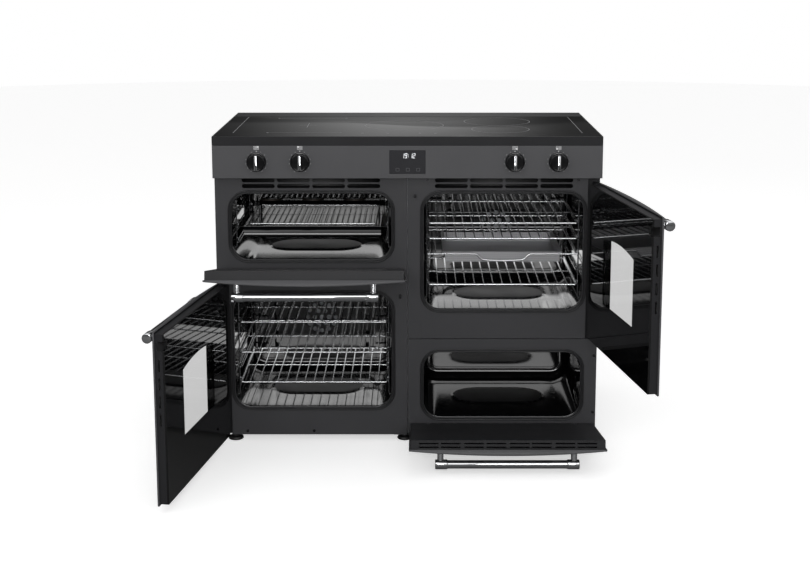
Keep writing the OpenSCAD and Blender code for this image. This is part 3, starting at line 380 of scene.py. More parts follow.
def black_enamel(name="vitreous_enamel", low=0.05, high=0.11):
    """Vitreous enamel fired on steel: near black and glassy, with slow waves 60 mm long and tiny
    specks."""
    made, tree, shader, place = start(name, **{"IOR": 1.62})
    waves = add(tree, "ShaderNodeTexNoise", {"Vector": place, "Scale": 1 / (60 * MM), "Detail": 0})
    specks = add(tree, "ShaderNodeTexNoise", {"Vector": place, "Scale": 1 / (0.9 * MM), "Detail": 2})
    relief = add(tree, "ShaderNodeBump", {"Height": waves, "Distance": 0.002 * MM, "Strength": 0.6})
    tree.links.new(relief.outputs["Normal"], shader.inputs["Normal"])
    spread = add(tree, "ShaderNodeMapRange", {"Value": waves, "To Min": low, "To Max": high})
    tree.links.new(spread.outputs["Result"], shader.inputs["Roughness"])
    varied(tree, shader, specks, linear("#050506"), linear("#0e0e10"))
    return made


def ceramic_glass():
    """Black glass ceramic, ground and polished: a mirror at low angles, with faint wiping
    marks."""
    made, tree, shader, place = start("glass_ceramic", **{"IOR": 1.5})
    stretched = add(tree, "ShaderNodeMapping", {"Vector": place, "Scale": (1, 6, 1)})
    wiping = add(tree, "ShaderNodeTexNoise", {"Vector": stretched, "Scale": 1 / (120 * MM),
                                              "Detail": 4})
    varied(tree, shader, wiping, linear("#09090a"), linear("#0d0d0f"), (0.05, 0.12))
    return made


def wire_chrome(name="chromed_wire", dark="#b9babc", light="#e0e1e3"):
    """Chrome-plated steel wire: bright, slightly pitted and stained by the oven's heat."""
    made, tree, shader, place = start(name, **{"Metallic": 1.0})
    haze = add(tree, "ShaderNodeTexNoise", {"Vector": place, "Scale": 1 / (6 * MM), "Detail": 3})
    varied(tree, shader, haze, linear(dark), linear(light), (0.16, 0.32))
    return made


def bright_chrome():
    """Polished chrome of the handles: a mirror broken by fine wear of about 0.6 mm."""
    made, tree, shader, place = start("polished_chrome", **{"Metallic": 1.0})
    wear = add(tree, "ShaderNodeTexNoise", {"Vector": place, "Scale": 1 / (0.6 * MM), "Detail": 2})
    varied(tree, shader, wear, linear("#d2d3d6"), linear("#e6e7e9"), (0.05, 0.11))
    return made


def zinc_sheet():
    """Hot-dip zinc on steel sheet: grey metal with frost-like spangles about 12 mm across."""
    made, tree, shader, place = start("galvanised_steel", **{"Metallic": 1.0})
    spangle = add(tree, "ShaderNodeTexVoronoi", {"Vector": place, "Scale": 1 / (12 * MM)})
    shade = add(tree, "ShaderNodeSeparateColor", {"Color": spangle.outputs["Color"]})
    varied(tree, shader, shade, linear("#94969a"), linear("#a3a5a8"), (0.42, 0.48))
    return made


def rolled_steel():
    """Bead-blasted stainless sheet of the tray: pale grey, with a grid of darker marks 6 mm apart
    where its pierced holes are, painted shade that stands for the dark seen through the holes."""
    made, tree, shader, place = start("pierced_steel", **{"Metallic": 0.85})
    cells = add(tree, "ShaderNodeTexVoronoi", {"Vector": place, "Scale": 1 / (6 * MM),
                                               "Randomness": 0.0})
    # the darker marks are painted shade in place of the pierced holes
    plain = add(tree, "ShaderNodeMath", {0: cells, 1: 0.24}, operation="GREATER_THAN")
    varied(tree, shader, plain, linear("#757577"), linear("#a6a6a8"))
    blast = add(tree, "ShaderNodeTexNoise", {"Vector": place, "Scale": 1 / (3 * MM), "Detail": 2})
    spread = add(tree, "ShaderNodeMapRange", {"Value": blast, "To Min": 0.4, "To Max": 0.55})
    tree.links.new(spread.outputs["Result"], shader.inputs["Roughness"])
    return made


def plastic(name, code, roughness):
    """Moulded plastic with the fine spark-eroded grain of its tool, 0.7 mm."""
    made, tree, shader, place = start(name, **{"IOR": 1.49})
    spark = add(tree, "ShaderNodeTexNoise", {"Vector": place, "Scale": 1 / (0.7 * MM), "Detail": 2})
    relief = add(tree, "ShaderNodeBump", {"Height": spark, "Distance": 0.015 * MM, "Strength": 0.6})
    tree.links.new(relief.outputs["Normal"], shader.inputs["Normal"])
    varied(tree, shader, spark, *shades(linear(code), 0.12), (roughness - 0.05, roughness + 0.05))
    return made


def rubber_seal():
    """Extruded silicone rubber: dark, softly shining, faintly chalky where it has been wiped."""
    made, tree, shader, place = start("silicone_rubber", **{"IOR": 1.43})
    chalk = add(tree, "ShaderNodeTexNoise", {"Vector": place, "Scale": 1 / (8 * MM), "Detail": 3})
    varied(tree, shader, chalk, linear("#141415"), linear("#222224"), (0.3, 0.48))
    return made


def dark_tube():
    """Stainless sheath of a heating element, blued and matt from heat."""
    made, tree, shader, place = start("element_sheath", **{"Metallic": 0.9})
    heat = add(tree, "ShaderNodeTexNoise", {"Vector": place, "Scale": 1 / (20 * MM), "Detail": 3})
    varied(tree, shader, heat, linear("#2c2a29"), linear("#4b4643"), (0.35, 0.5))
    return made


def copper_winding():
    """Enamelled copper wire wound flat, its shade changing from turn to turn, about 4 mm apart."""
    made, tree, shader, place = start("copper_winding", **{"Metallic": 1.0, "Roughness": 0.35})
    turns = add(tree, "ShaderNodeTexNoise", {"Vector": place, "Scale": 1 / (4 * MM), "Detail": 2})
    varied(tree, shader, turns, linear("#8a4a25"), linear("#c07a48"))
    return made


def printed(name, code, glow=0.0):
    """Screen-printed ink, or the lit segments of a display where it glows."""
    made, tree, shader, place = start(name, **{"Roughness": 0.55, "Emission Strength": glow,
                                               "Emission Color": (*linear(code), 1)})
    ink = add(tree, "ShaderNodeTexNoise", {"Vector": place, "Scale": 1 / (1 * MM), "Detail": 2})
    varied(tree, shader, ink, *shades(linear(code), 0.05))
    return made


def lamp_glass():
    """Frosted borosilicate cover of an oven lamp."""
    made, tree, shader, place = start("lamp_glass", **{"IOR": 1.47, "Transmission Weight": 0.6})
    frost = add(tree, "ShaderNodeTexNoise", {"Vector": place, "Scale": 1 / (2 * MM), "Detail": 2})
    varied(tree, shader, frost, linear("#d8d4c8"), linear("#efece2"), (0.2, 0.4))
    return made


def door_pane(name, joint, centre, field, index):
    """Toughened door glass with a fired black border, glossy outside: clear only in a field with
    an arched head. The field is measured with the door shut, so a mapping turns the coordinates
    back to it. Inside it, |x| < half width, z > foot and z < foot + height + rise (1 - (x / half
    width)^2). The index is set below that of real glass, so that panes seen at a low angle stay
    clear."""
    made, tree, shader, place = start(name, **{"IOR": index, "Roughness": 0.0, "Coat IOR": 1.7,
                                               "Coat Roughness": 0.04})
    width, foot, height, rise = field
    data = JOINTS[joint]
    pivot = Vector(data["pos_m"])
    spin = Matrix.Rotation(math.radians(data["range_deg"][0]), 4, Vector(data["axis"]))
    shut = Matrix.Translation(pivot) @ spin @ Matrix.Translation(-pivot)
    shift = shut.to_translation() - Vector((centre, 0, foot))
    local = add(tree, "ShaderNodeMapping", {"Vector": place, "Location": shift,
                                            "Rotation": shut.to_euler()})
    axes = add(tree, "ShaderNodeSeparateXYZ", {"Vector": local})
    z = axes.outputs["Z"]
    across = add(tree, "ShaderNodeMath", {0: axes.outputs["X"], 1: width / 2}, operation="DIVIDE")
    square = add(tree, "ShaderNodeMath", {0: across, 1: across}, operation="MULTIPLY")
    fall = add(tree, "ShaderNodeMath", {0: square, 1: -rise}, operation="MULTIPLY")
    head = add(tree, "ShaderNodeMath", {0: fall, 1: height + rise}, operation="ADD")
    aside = add(tree, "ShaderNodeMath", {0: across}, operation="ABSOLUTE")
    between = add(tree, "ShaderNodeMath", {0: aside, 1: 1.0}, operation="LESS_THAN")
    above = add(tree, "ShaderNodeMath", {0: z, 1: 0.0}, operation="GREATER_THAN")
    below = add(tree, "ShaderNodeMath", {0: z, 1: head}, operation="LESS_THAN")
    upper = add(tree, "ShaderNodeMath", {0: between, 1: above}, operation="MULTIPLY")
    clear = add(tree, "ShaderNodeMath", {0: upper, 1: below}, operation="MULTIPLY")
    border = add(tree, "ShaderNodeMath", {0: 1.0, 1: clear}, operation="SUBTRACT")
    tree.links.new(clear.outputs[0], shader.inputs["Transmission Weight"])
    tree.links.new(border.outputs[0], shader.inputs["Coat Weight"])
    varied(tree, shader, clear, linear("#070708"), (1, 1, 1))
    return made


# ---------- what a user may change ----------

class CookerColours(PropertyGroup):
    """Colours of the finishes that show most."""
    panel: FloatVectorProperty(name="Panel", description="Enamel of the control panel and the doors",
                               default=linear("#4b4b4d"), subtype="COLOR", min=0, max=1)
    fascia: FloatVectorProperty(name="Fascias", description="Enamel of the frames round the ovens",
                                default=linear("#3d3d3f"), subtype="COLOR", min=0, max=1)
    carcass: FloatVectorProperty(name="Carcass", description="Paint of the sides and brackets",
                                 default=linear("#202022"), subtype="COLOR", min=0, max=1)
    hob_edge: FloatVectorProperty(name="Hob edge", description="Enamel of the steel round the glass",
                                  default=linear("#242426"), subtype="COLOR", min=0, max=1)
    floor: FloatVectorProperty(name="Floor", description="Colour of the studio's floor",
                               default=linear("#e6e6e6"), subtype="COLOR", min=0, max=1)


class CookerSizes(PropertyGroup):
    """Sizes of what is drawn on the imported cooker."""
    edge: FloatProperty(name="Edge", description="Rounding of folded sheet edges",
                        default=0.8 * MM, unit="LENGTH", min=0.1 * MM, max=2 * MM)
    door_edge: FloatProperty(name="Door edge", description="Rounding round a door's outer skin",
                             default=2.2 * MM, unit="LENGTH", min=1 * MM, max=4 * MM)
    clear_width: FloatProperty(name="Clear width", description="Width of the clear field in a door",
                               default=259 * MM, unit="LENGTH", min=200 * MM, max=340 * MM)
    clear_height: FloatProperty(name="Clear height", description="Height of the field at its sides",
                                default=180 * MM, unit="LENGTH", min=120 * MM, max=240 * MM)
    clear_foot: FloatProperty(name="Clear foot",
                              description="Height of the field above the door's foot",
                              default=142 * MM, unit="LENGTH", min=100 * MM, max=180 * MM)
    clear_rise: FloatProperty(name="Clear rise", description="Rise of the field's arch",
                              default=14 * MM, unit="LENGTH", min=5 * MM, max=30 * MM)
    outer_width: FloatProperty(name="Outer width",
                               description="Width of the clear field in the outer pane",
                               default=325 * MM, unit="LENGTH", min=260 * MM, max=370 * MM)
    lower_bend: FloatProperty(name="Lower bend", description="Bend under a drop-down door's skin",
                              default=6 * MM, unit="LENGTH", min=3 * MM, max=8 * MM)
    time: StringProperty(name="Time", description="Four digits that the clock shows", default="1912",
                         maxlen=4)


MATERIALS = {}


def finish(name):
    """The material of a name, made the first time that it is asked for."""
    colours = bpy.context.scene.cooker_colours
    makers = {
        "panel": lambda: satin_enamel("panel_enamel", tuple(colours.panel), 0.4),
        "fascia": lambda: satin_enamel("fascia_enamel", tuple(colours.fascia), 0.38),
        "liner": lambda: satin_enamel("liner_enamel", linear("#232325"), 0.45),
        "carcass": lambda: satin_enamel("carcass_paint", tuple(colours.carcass), 0.5),
        "hob_edge": lambda: satin_enamel("hob_enamel", tuple(colours.hob_edge), 0.3),
        "screw": lambda: wire_chrome("screw_steel", "#3c3c3e", "#5a5a5c"),
        "oval": lambda: black_enamel("matt_enamel", 0.4, 0.5),
        "oven": black_enamel, "hob": ceramic_glass, "wire": wire_chrome, "chrome": bright_chrome,
        "rack": lambda: wire_chrome("rack_wire", "#77787a", "#a4a5a7"),
        "zinc": zinc_sheet, "tray": rolled_steel, "seal": rubber_seal, "element": dark_tube,
        "copper": copper_winding, "lamp": lamp_glass,
        "knob": lambda: plastic("phenolic_black", "#08080a", 0.16),
        "housing": lambda: plastic("nylon_black", "#131314", 0.5),
        "clock": lambda: plastic("clock_glass", "#2a2a2d", 0.2),
        "ink": lambda: printed("white_ink", "#d9d9da"),
        "hob_ink": lambda: printed("grey_ink", "#9a9a9c"),
        "faint_ink": lambda: printed("faint_ink", "#4a4a4d"),
        "lit": lambda: printed("display_segments", "#f2f4f8", 1.0),
    }
    if name not in MATERIALS:
        MATERIALS[name] = makers[name]()
    return MATERIALS[name]


# ---------- hob ----------

def flat_ring(x, y, z, radius, width, sides=120):
    """A printed ring: two circles, centre + r (cos a, sin a), with r half a width more and
    less."""
    angle = np.linspace(0, 2 * np.pi, sides, endpoint=False)
    circle = np.stack([np.cos(angle), np.sin(angle), np.zeros(sides)], 1)
    rings = np.stack([circle * (radius - width / 2), circle * (radius + width / 2)]) + [x, y, z]
    return grid(rings, wrap_columns=True)


def flat_patch(x0, x1, y0, y1, z):
    """A printed rectangle that lies flat."""
    return np.array([[x0, y0, z], [x1, y0, z], [x1, y1, z], [x0, y1, z]]), [[0, 1, 2, 3]]


# Printed on the glass, in millimetres: middle x, middle y and radius of each round zone, and the x
# of each dot in front of them.
ROUND_ZONES = ((-11, 264, 117), (271, 357, 100), (271, 167, 84))
TOUCH_DOTS = (-129, -57, 35, 80)


def make_hob():
    """The glass is a stack of rounded rectangles whose edge follows a quarter circle: in by
    e (1 - cos a), down by e (1 - sin a). Its marks lie just over it."""
    low, high = box_of("hob_glass")
    edge = 1.2 * MM
    drop = 0.1 * MM
    middle = (low + high) / 2
    width, depth = high[0] - low[0], high[1] - low[1]
    top = high[2] - drop
    angle = np.linspace(0, np.pi / 2, 5)
    rows = [(width, depth, low[2])]
    rows += [(width - 2 * edge * (1 - math.cos(a)), depth - 2 * edge * (1 - math.cos(a)),
              top - edge * (1 - math.sin(a))) for a in angle]
    rings = []
    for w, d, z in rows:
        outline = rounded(w, d, 3 * MM)
        rings.append(np.column_stack([outline + middle[:2], np.full(len(outline), z)]))
    glass = capped(grid(np.array(rings), wrap_columns=True), len(rings[0]))
    piece("ceramic_top", [glass], [finish("hob")], "cabinet", ["hob_glass"])

    z, line = high[2] - 0.02 * MM, 1.5 * MM
    shapes = [flat_ring(x * MM, y * MM, z, r * MM, line) for x, y, r in ROUND_ZONES]
    left, right, front, back = -401 * MM, -193 * MM, 87 * MM, 441 * MM
    shapes += [flat_patch(left, right, y - line / 2, y + line / 2, z) for y in (front, back)]
    shapes += [flat_ring(x, y, z, 2.5 * MM, 2.5 * MM, 16)
               for x in (left, right) for y in (front, back)]
    cross_x, cross_y, arm = -298 * MM, 264 * MM, 26 * MM
    shapes.append(flat_patch(cross_x - arm, cross_x + arm, cross_y - line / 2,
                             cross_y + line / 2, z))
    shapes.append(flat_patch(cross_x - line / 2, cross_x + line / 2, cross_y - 2 * arm,
                             cross_y + 2 * arm, z))
    side, near, far = 500 * MM, 80 * MM, 480 * MM
    shapes += [flat_patch(s * side - line / 2, s * side + line / 2, near, far, z) for s in (-1, 1)]
    shapes += [flat_ring(x * MM, 76 * MM, z, 3 * MM, 1.6 * MM, 20) for x in TOUCH_DOTS]
    piece("hob_marks", shapes, [finish("hob_ink")], "cabinet", slot="hob_ceramic", solid=False,
          inside=(0, 0.25, 0))
    dressed("hob_frame", finish("hob_edge"), 1.2 * MM)
    dressed("induction_coils", finish("copper"), 0)


# ---------- control panel ----------

# The bars that each figure lights: a is the top one, b to f go on clockwise, g is in the middle.
SEGMENTS = {"0": "abcdef", "1": "bc", "2": "abged", "3": "abgcd", "4": "fgbc", "5": "afgcd",
            "6": "afgedc", "7": "abc", "8": "abcdefg", "9": "abcdfg"}


def upright_patch(x0, x1, z0, z1, y):
    """A printed rectangle that stands and faces the front."""
    return np.array([[x0, y, z0], [x1, y, z0], [x1, y, z1], [x0, y, z1]]), [[0, 1, 2, 3]]


def frame_patch(x0, x1, z0, z1, y, line):
    """Four printed bars round a rectangle."""
    return joined(upright_patch(x0, x1, z0, z0 + line, y), upright_patch(x0, x1, z1 - line, z1, y),
                  upright_patch(x0, x0 + line, z0 + line, z1 - line, y),
                  upright_patch(x1 - line, x1, z0 + line, z1 - line, y))


def digit(figure, x, z, width, height, y, line):
    """One figure of seven bars, its middle at x and z; the bars stop short of each other and lean
    over by a share of their height."""
    gap, half, up, slant = line * 0.6, width / 2, height / 2, 0.12
    bars = {
        "a": (-half + gap, half - gap, up - line, up),
        "d": (-half + gap, half - gap, -up, -up + line),
        "g": (-half + gap, half - gap, -line / 2, line / 2),
        "b": (half - line, half, gap, up - gap), "c": (half - line, half, -up + gap, -gap),
        "f": (-half, -half + line, gap, up - gap), "e": (-half, -half + line, -up + gap, -gap)}
    patches = [upright_patch(x + bars[k][0], x + bars[k][1], z + bars[k][2], z + bars[k][3], y)
               for k in SEGMENTS[figure]]
    return [(points + (points[:, 2:] - z) * [slant, 0, 0], faces) for points, faces in patches]


# Middle x of the clock's four figures and of the keys below them, in millimetres.
FIGURES_X = (-12.5, -4.3, 10.4, 18.6)
KEYS_X = (-28, 1, 30)


def make_panel():
    """The panel and the clock with their printed and lit marks, each a flat patch before its
    glass."""
    sizes = bpy.context.scene.cooker_sizes
    dressed("control_panel", finish("panel"), sizes.edge)
    dressed("clock_module", finish("clock"), 0.4 * MM)
    face = -0.22 * MM
    low, high = box_of("clock_module")
    middle = (low[2] + high[2]) / 2
    shapes = []
    for figure, x in zip(sizes.time, FIGURES_X):
        shapes += digit(figure, x * MM, middle + 18 * MM, 6.4 * MM, 13.5 * MM, face, 1.0 * MM)
    shapes += [upright_patch(2.4 * MM, 3.6 * MM, middle + dz * MM, middle + (dz + 1.3) * MM, face)
               for dz in (14.5, 20)]
    piece("clock_figures", shapes, [finish("lit")], "cabinet", slot="clock_glass", solid=False,
          inside=(0, 1, middle))
    foot, top = middle - 26 * MM, middle - 17 * MM
    marks = [frame_patch((x - 5) * MM, (x + 5) * MM, foot, top, face, 1 * MM) for x in KEYS_X]
    piece("clock_keys", marks, [finish("faint_ink")], "cabinet", slot="clock_glass", solid=False,
          inside=(0, 1, middle))


def knob_shapes(x, z, low, high):
    """A knob: a turned skirt and barrel, with a bar-shaped pointer across its face."""
    skirt, tip = (high[0] - low[0]) / 2, low[1]
    pointer_half, pointer_up, face = 4.5 * MM, 21 * MM, tip + 8 * MM
    back = -1 * MM
    barrel = skirt - 3 * MM
    body = turned([(3 * MM, high[1] - back), (3 * MM, 0), (skirt - 1 * MM, 0), (skirt, -1 * MM),
                   (skirt, -4.6 * MM), (skirt - 0.8 * MM, -5.8 * MM), (barrel + 0.6 * MM, -6 * MM),
                   (barrel, -6.8 * MM), (barrel - 0.6 * MM, face - back + 1.6 * MM),
                   (barrel - 2.2 * MM, face - back), (barrel - 5 * MM, face - back + 0.4 * MM)],
                  (x, back, z), (0, 1, 0), 64)
    outline = rounded(2 * pointer_half, 2 * pointer_up, pointer_half - 0.2 * MM, 8, 2, 6)
    rows = [(1.0, face + 0.6 * MM), (1.0, tip + 1.2 * MM), (0.94, tip + 0.4 * MM), (0.8, tip)]
    rings = []
    for share, y in rows:
        shrunk = outline - np.sign(outline) * pointer_half * (1 - share)
        rings.append(np.column_stack([shrunk[:, 0] + x, np.full(len(outline), y), shrunk[:, 1] + z]))
    pointer = capped(grid(np.array(rings), wrap_columns=True), len(outline))
    return body, pointer


# Which of the four squares over each knob is filled, counted from the upper left.
FILLED = {1: 1, 2: 0, 3: 3, 4: 2}


def make_knobs():
    """Each knob rides on its own body. Its scale is 13 dots, 25 degrees apart, at centre + r (cos
    a, sin a), and above it four squares, of which the filled one says which plate it serves."""
    for k in range(1, 5):
        node = f"knob_{k}"
        low, high = box_of(node)
        x, z = (low[0] + high[0]) / 2, (low[2] + high[2]) / 2
        body, pointer = knob_shapes(x, z, low, high)
        piece(f"{node}_turned", [body, pointer], [finish("knob"), finish("chrome")], node, [node])
        face, radius = -0.05 * MM, 30.5 * MM
        shapes = []
        for i in range(13):
            angle = math.radians(90 - (i - 6) * 25)
            cx, cz = x + radius * math.cos(angle), z + radius * math.sin(angle)
            half = (1.2 if i == 6 else 0.6) * MM
            shapes.append(upright_patch(cx - half, cx + half, cz - half, cz + half, face))
        size, gap, base = 6.4 * MM, 1.6 * MM, z + 35 * MM
        for i in range(4):
            x0 = x + (i % 2 - 1) * (size + gap) + gap / 2
            z0 = base + (1 - i // 2) * (size * 0.62 + gap)
            corners = (x0, x0 + size, z0, z0 + size * 0.62, face)
            shapes.append(upright_patch(*corners) if i == FILLED[k]
                          else frame_patch(*corners, 0.8 * MM))
        piece(f"{node}_scale", shapes, [finish("ink")], "cabinet", slot="panel_enamel", solid=False,
              inside=(x, 1, z))


# ---------- carcass ----------

def make_carcass():
    """The sheets keep the node's own shape, with their folded edges rounded."""
    edge = bpy.context.scene.cooker_sizes.edge
    for name in OVENS:
        dressed("fascia_" + name, finish("fascia"), edge)
    for node in ("side_panel_left", "side_panel_right", "base_pan", "hinge_brackets"):
        dressed(node, finish("carcass"), 0.3 * MM)
    for node in ("back_panel", "centre_wall"):
        dressed(node, finish("zinc"), 0.2 * MM)
    dressed("terminal_box", finish("housing"), 0.6 * MM)
    fixings = dressed("fascia_fixings", finish("screw"), 0.3 * MM)
    painted(fixings.data, finish("fascia"),
            lambda spot: (np.abs(spot[:, 0]) < 40 * MM) & (spot[:, 2] < 400 * MM))
    make_slot_shade_troughs()
    make_feet()


def painted(mesh, material, chosen):
    """Gives a second material to the faces whose middles are chosen."""
    middles = np.empty(len(mesh.polygons) * 3, np.float32)
    mesh.polygons.foreach_get("center", middles)
    mesh.materials.append(material)
    mesh.polygons.foreach_set("material_index", chosen(middles.reshape(-1, 3)).astype(np.int32))


def make_slot_shade_troughs():
    """Folded black troughs behind the air slots, there as painted shade so that the slots look dark:
    a profile of Y and Z drawn along X, its corners rounded."""
    for column in ("left", "right"):
        low, high = box_of(f"fascia_{column}_upper")
        x, half, front, back = (low[0] + high[0]) / 2, 225 * MM, 31.9 * MM, 62 * MM
        foot, top = high[2] - 33 * MM, high[2] - 1 * MM
        profile = bent([(front, foot), (back, foot), (back, top), (front, top)], 6 * MM, 6)
        stations = x + half * np.linspace(-1, 1, 3)
        rows = np.stack([np.column_stack([np.full(len(profile), s), profile]) for s in stations])
        # the black of these troughs is painted shade behind the slots
        piece("slot_shade_trough_" + column, [grid(rows)], [finish("housing")], "cabinet",
              slot="carcass_enamel", solid=False, wall=0.8 * MM)


# Middle x and y of each foot, in millimetres.
FEET = ((-507, 56), (-9, 56), (507, 56), (-507, 540), (507, 540))


def make_feet():
    """Levelling feet: a turned pad, a collar over it, and a stem into the base."""
    top = box_of("levelling_feet")[1][2]
    pad, collar, stem = 22 * MM, 11.5 * MM, 6 * MM
    shape = turned([(pad - 1.5 * MM, 0), (pad, 1.5 * MM), (pad, 5 * MM), (pad - 2 * MM, 8 * MM),
                    (14 * MM, 9 * MM), (collar, 9.6 * MM), (collar, 20 * MM), (stem, 20 * MM),
                    (stem, top - 1 * MM), (stem - 1 * MM, top)], (0, 0, 0), (0, 0, 1), 36)
    offsets = [(x * MM, y * MM, 0) for x, y in FEET]
    piece("feet", [copies(shape, offsets)], [finish("housing")], "cabinet", ["levelling_feet"])


# ---------- ovens ----------

OVENS = ("left_upper", "left_lower", "right_upper", "right_lower")
CORNER = 48 * MM                 # radius of the ovens' corners, seen from the front


def oven_size(name):
    """Middle x, floor z, inner width and height, mouth y and back y of an oven."""
    low, high = box_of("cavity_" + name)
    flange, sheet = 10 * MM, 1.5 * MM
    return ((low[0] + high[0]) / 2, low[2] + flange, high[0] - low[0] - 2 * flange,
            high[2] - low[2] - 2 * flange, low[1], high[1] - sheet)


OVAL_RADIUS, OVAL_HALF = 75 * MM, 60 * MM


def from_oval(points, x, mouth, back):
    """Distance in plan from the middle line of the oval pressed into an oven's floor: the
    hypotenuse of y - middle and of what |x| has over half that line's length."""
    middle = mouth + 0.48 * (back - mouth)
    past = np.maximum(np.abs(points[..., 0] - x) - OVAL_HALF, 0)
    return np.hypot(past, points[..., 1] - middle)


def oven_shell(name):
    """The inside of an oven: rounded rectangles one behind the other, drawn in at the back round a
    quarter circle, with a panel pressed 3 mm forward in the back wall and an oval pressed up from
    the floor. The floor rises by a smooth step where the distance to the oval's middle line is under
    its radius, and is crowned inside it."""
    x, floor, width, height, mouth, back = oven_size(name)
    bend, across, up = 20 * MM, 70, 14
    flange = 9.5 * MM
    rows = [(-flange, 0.2 * MM), (-2 * MM, 0.2 * MM), (-0.6 * MM, 0.8 * MM), (0, 2.4 * MM)]
    rows += [(0, d) for d in np.linspace(8 * MM, back - mouth - bend, 60)]
    rows += [(bend * (1 - math.cos(a)), back - mouth - bend + bend * math.sin(a))
             for a in np.linspace(0.15, np.pi / 2, 8)]
    edge = back - mouth
    rows += [(bend + 6 * MM, edge), (bend + 9 * MM, edge - 3 * MM), (bend + 15 * MM, edge - 3 * MM)]
    rings = []
    for inset, depth in rows:
        radius = max(CORNER - inset, 6 * MM)
        outline = rounded(width - 2 * inset, height - 2 * inset, radius, 10, across, up)
        rings.append(np.column_stack([outline[:, 0] + x, np.full(len(outline), mouth + depth),
                                      outline[:, 1] + floor + height / 2]))
    points = np.array(rings)
    rise = 3 * MM
    away = from_oval(points, x, mouth, back)
    step = np.clip((OVAL_RADIUS + 5 * MM - away) / (10 * MM), 0, 1)
    step = step * step * (3 - 2 * step) * (1 + np.clip(1 - (away / OVAL_RADIUS) ** 2, 0, 1))
    on_floor = points[..., 2] < floor + 0.5 * MM
    points[..., 2] += np.where(on_floor, rise * step, 0)
    shape = grid(points, wrap_columns=True)
    last = len(points) * points.shape[1] - points.shape[1]
    shape[1].append(list(range(last, last + points.shape[1])))
    return shape


def make_ovens():
    """The four ovens with the dull ovals of their floors, and what is fixed in them. A seal is a
    bar round the mouth's outline, drawn out by a step for each of its two lips."""
    for name in OVENS:
        node = "cavity_" + name
        x, floor, width, height, mouth, back = oven_size(name)
        made = piece(name + "_oven", [oven_shell(name)], [finish("oven")], "cabinet", [node],
                     solid=False, before=(x, (mouth + back) / 2, floor + height / 2), wall=1.0 * MM)
        painted(made.data, finish("oval"),
                lambda spot: (from_oval(spot, x, mouth, back) < OVAL_RADIUS)
                & (spot[:, 2] < floor + 10 * MM))
    seals = []
    low, high = box_of("door_seals")
    for name in OVENS:
        x, floor, width, height, mouth, back = oven_size(name)
        for out in (3.6 * MM, 9 * MM):
            outline = rounded(width + 2 * out, height + 2 * out, CORNER + out, 12, 30, 16)
            path = np.column_stack([outline[:, 0] + x, np.full(len(outline), (low[1] + high[1]) / 2),
                                    outline[:, 1] + floor + height / 2])
            seals.append(rod(path, 2.1 * MM, (0, 1, 0), 10, True, 0.8))
    piece("mouth_seals", seals, [finish("seal")], "cabinet", ["door_seals"])
    dressed("fan_baffles", finish("oven"), 0.4 * MM)
    dressed("heating_elements", finish("element"), 0)
    dressed("oven_lamps", finish("lamp"), 1.5 * MM)
    for node in ("fan_motors", "fan_left", "fan_right"):
        dressed(node, finish("zinc"), 0.2 * MM)


# ---------- wire goods ----------

def make_racks():
    """Side racks: at each level a runner and a guide are one loop of wire, a stadium whose ends
    are half circles, held by two uprights through short stubs."""
    lowest, highest = (box_of(shelf)[1][2] for shelf in ("shelf_left_1", "shelf_left_3"))
    pitch = (highest - lowest) / 4
    first = lowest - 3.2 * MM - oven_size("left_lower")[1]
    end, inset, bend = 26 * MM, 0.5 * MM, 5 * MM
    low_gap, high_gap = 5.4 * MM, 8.2 * MM
    shapes = []
    for name, start_level, levels in (("left_upper", 46 * MM, 3), ("left_lower", first, 5),
                                      ("right_upper", first, 5)):
        x, floor, width, height, mouth = oven_size(name)[:5]
        y0, y1 = mouth + 38.5 * MM, mouth + 358.5 * MM
        inner, outer = width / 2 - 14 * MM, width / 2 - 8 * MM
        for side in (-1, 1):
            for i in range(levels):
                level = floor + start_level + i * pitch
                middle, radius = level + (high_gap - low_gap) / 2, (high_gap + low_gap) / 2
                angle = np.linspace(-np.pi / 2, np.pi / 2, 9)
                front = np.stack([y0 - radius * np.cos(angle), middle - radius * np.sin(angle)], 1)
                rear = np.stack([y1 + radius * np.cos(angle), middle + radius * np.sin(angle)], 1)
                loop = np.concatenate([front, rear])
                path = np.column_stack([np.full(len(loop), x + side * inner), loop])
                shapes.append(rod(path, 1.7 * MM, (1, 0, 0), 8, True))
                for y in (y0, y1):
                    for z in (level - low_gap, level + high_gap):
                        ends = [(x + side * inner, y, z), (x + side * outer, y, z)]
                        shapes.append(rod(ends, 1.6 * MM, (0, 1, 0), 8))
            for y in (y0, y1):
                top, foot = floor + height - end, floor + end
                wall = x + side * (width / 2 - inset)
                post = x + side * outer
                corners = [(wall, y, foot), (post, y, foot), (post, y, top), (wall, y, top)]
                shapes.append(rod(bent(corners, bend), 2.0 * MM, (0, 1, 0), 8))
    piece("rack_wires", shapes, [finish("rack")], "cabinet", ["side_racks"])


def make_shelves():
    """Wire shelves: a closed frame of thick wire with rounded corners, thin wires from front to
    back across it and one brace below."""
    for node in [n for n in frame["nodes"] if n.startswith("shelf_")]:
        low, high = box_of(node)
        thick, thin = 3.2 * MM, 1.8 * MM
        z = high[2] - thick
        x0, x1 = low[0] + 1.5 * MM, high[0] - 1.5 * MM
        y0, y1 = low[1] + thick, high[1] - thick
        frame_path = bent([(x0, y0, z), (x1, y0, z), (x1, y1, z), (x0, y1, z)], 7 * MM, 6, True)
        shapes = [rod(frame_path, 3.0 * MM, (0, 0, 1), 12, True)]
        middle, half = (x0 + x1) / 2, (x1 - x0) / 2
        spots = middle + half * np.linspace(-1, 1, 17)[1:-1]
        wire = rod([(0, y0, z + 1 * MM), (0, y1, z + 1 * MM)], thin, (0, 0, 1), 8)
        shapes.append(copies(wire, [(x, 0, 0) for x in spots]))
        brace = [(x0, (y0 + y1) / 2, z - 1.4 * MM), (x1, (y0 + y1) / 2, z - 1.4 * MM)]
        shapes.append(rod(brace, 2 * MM, (0, 0, 1), 8))
        piece(node + "_wires", shapes, [finish("wire")], BODY_OF[node], [node])


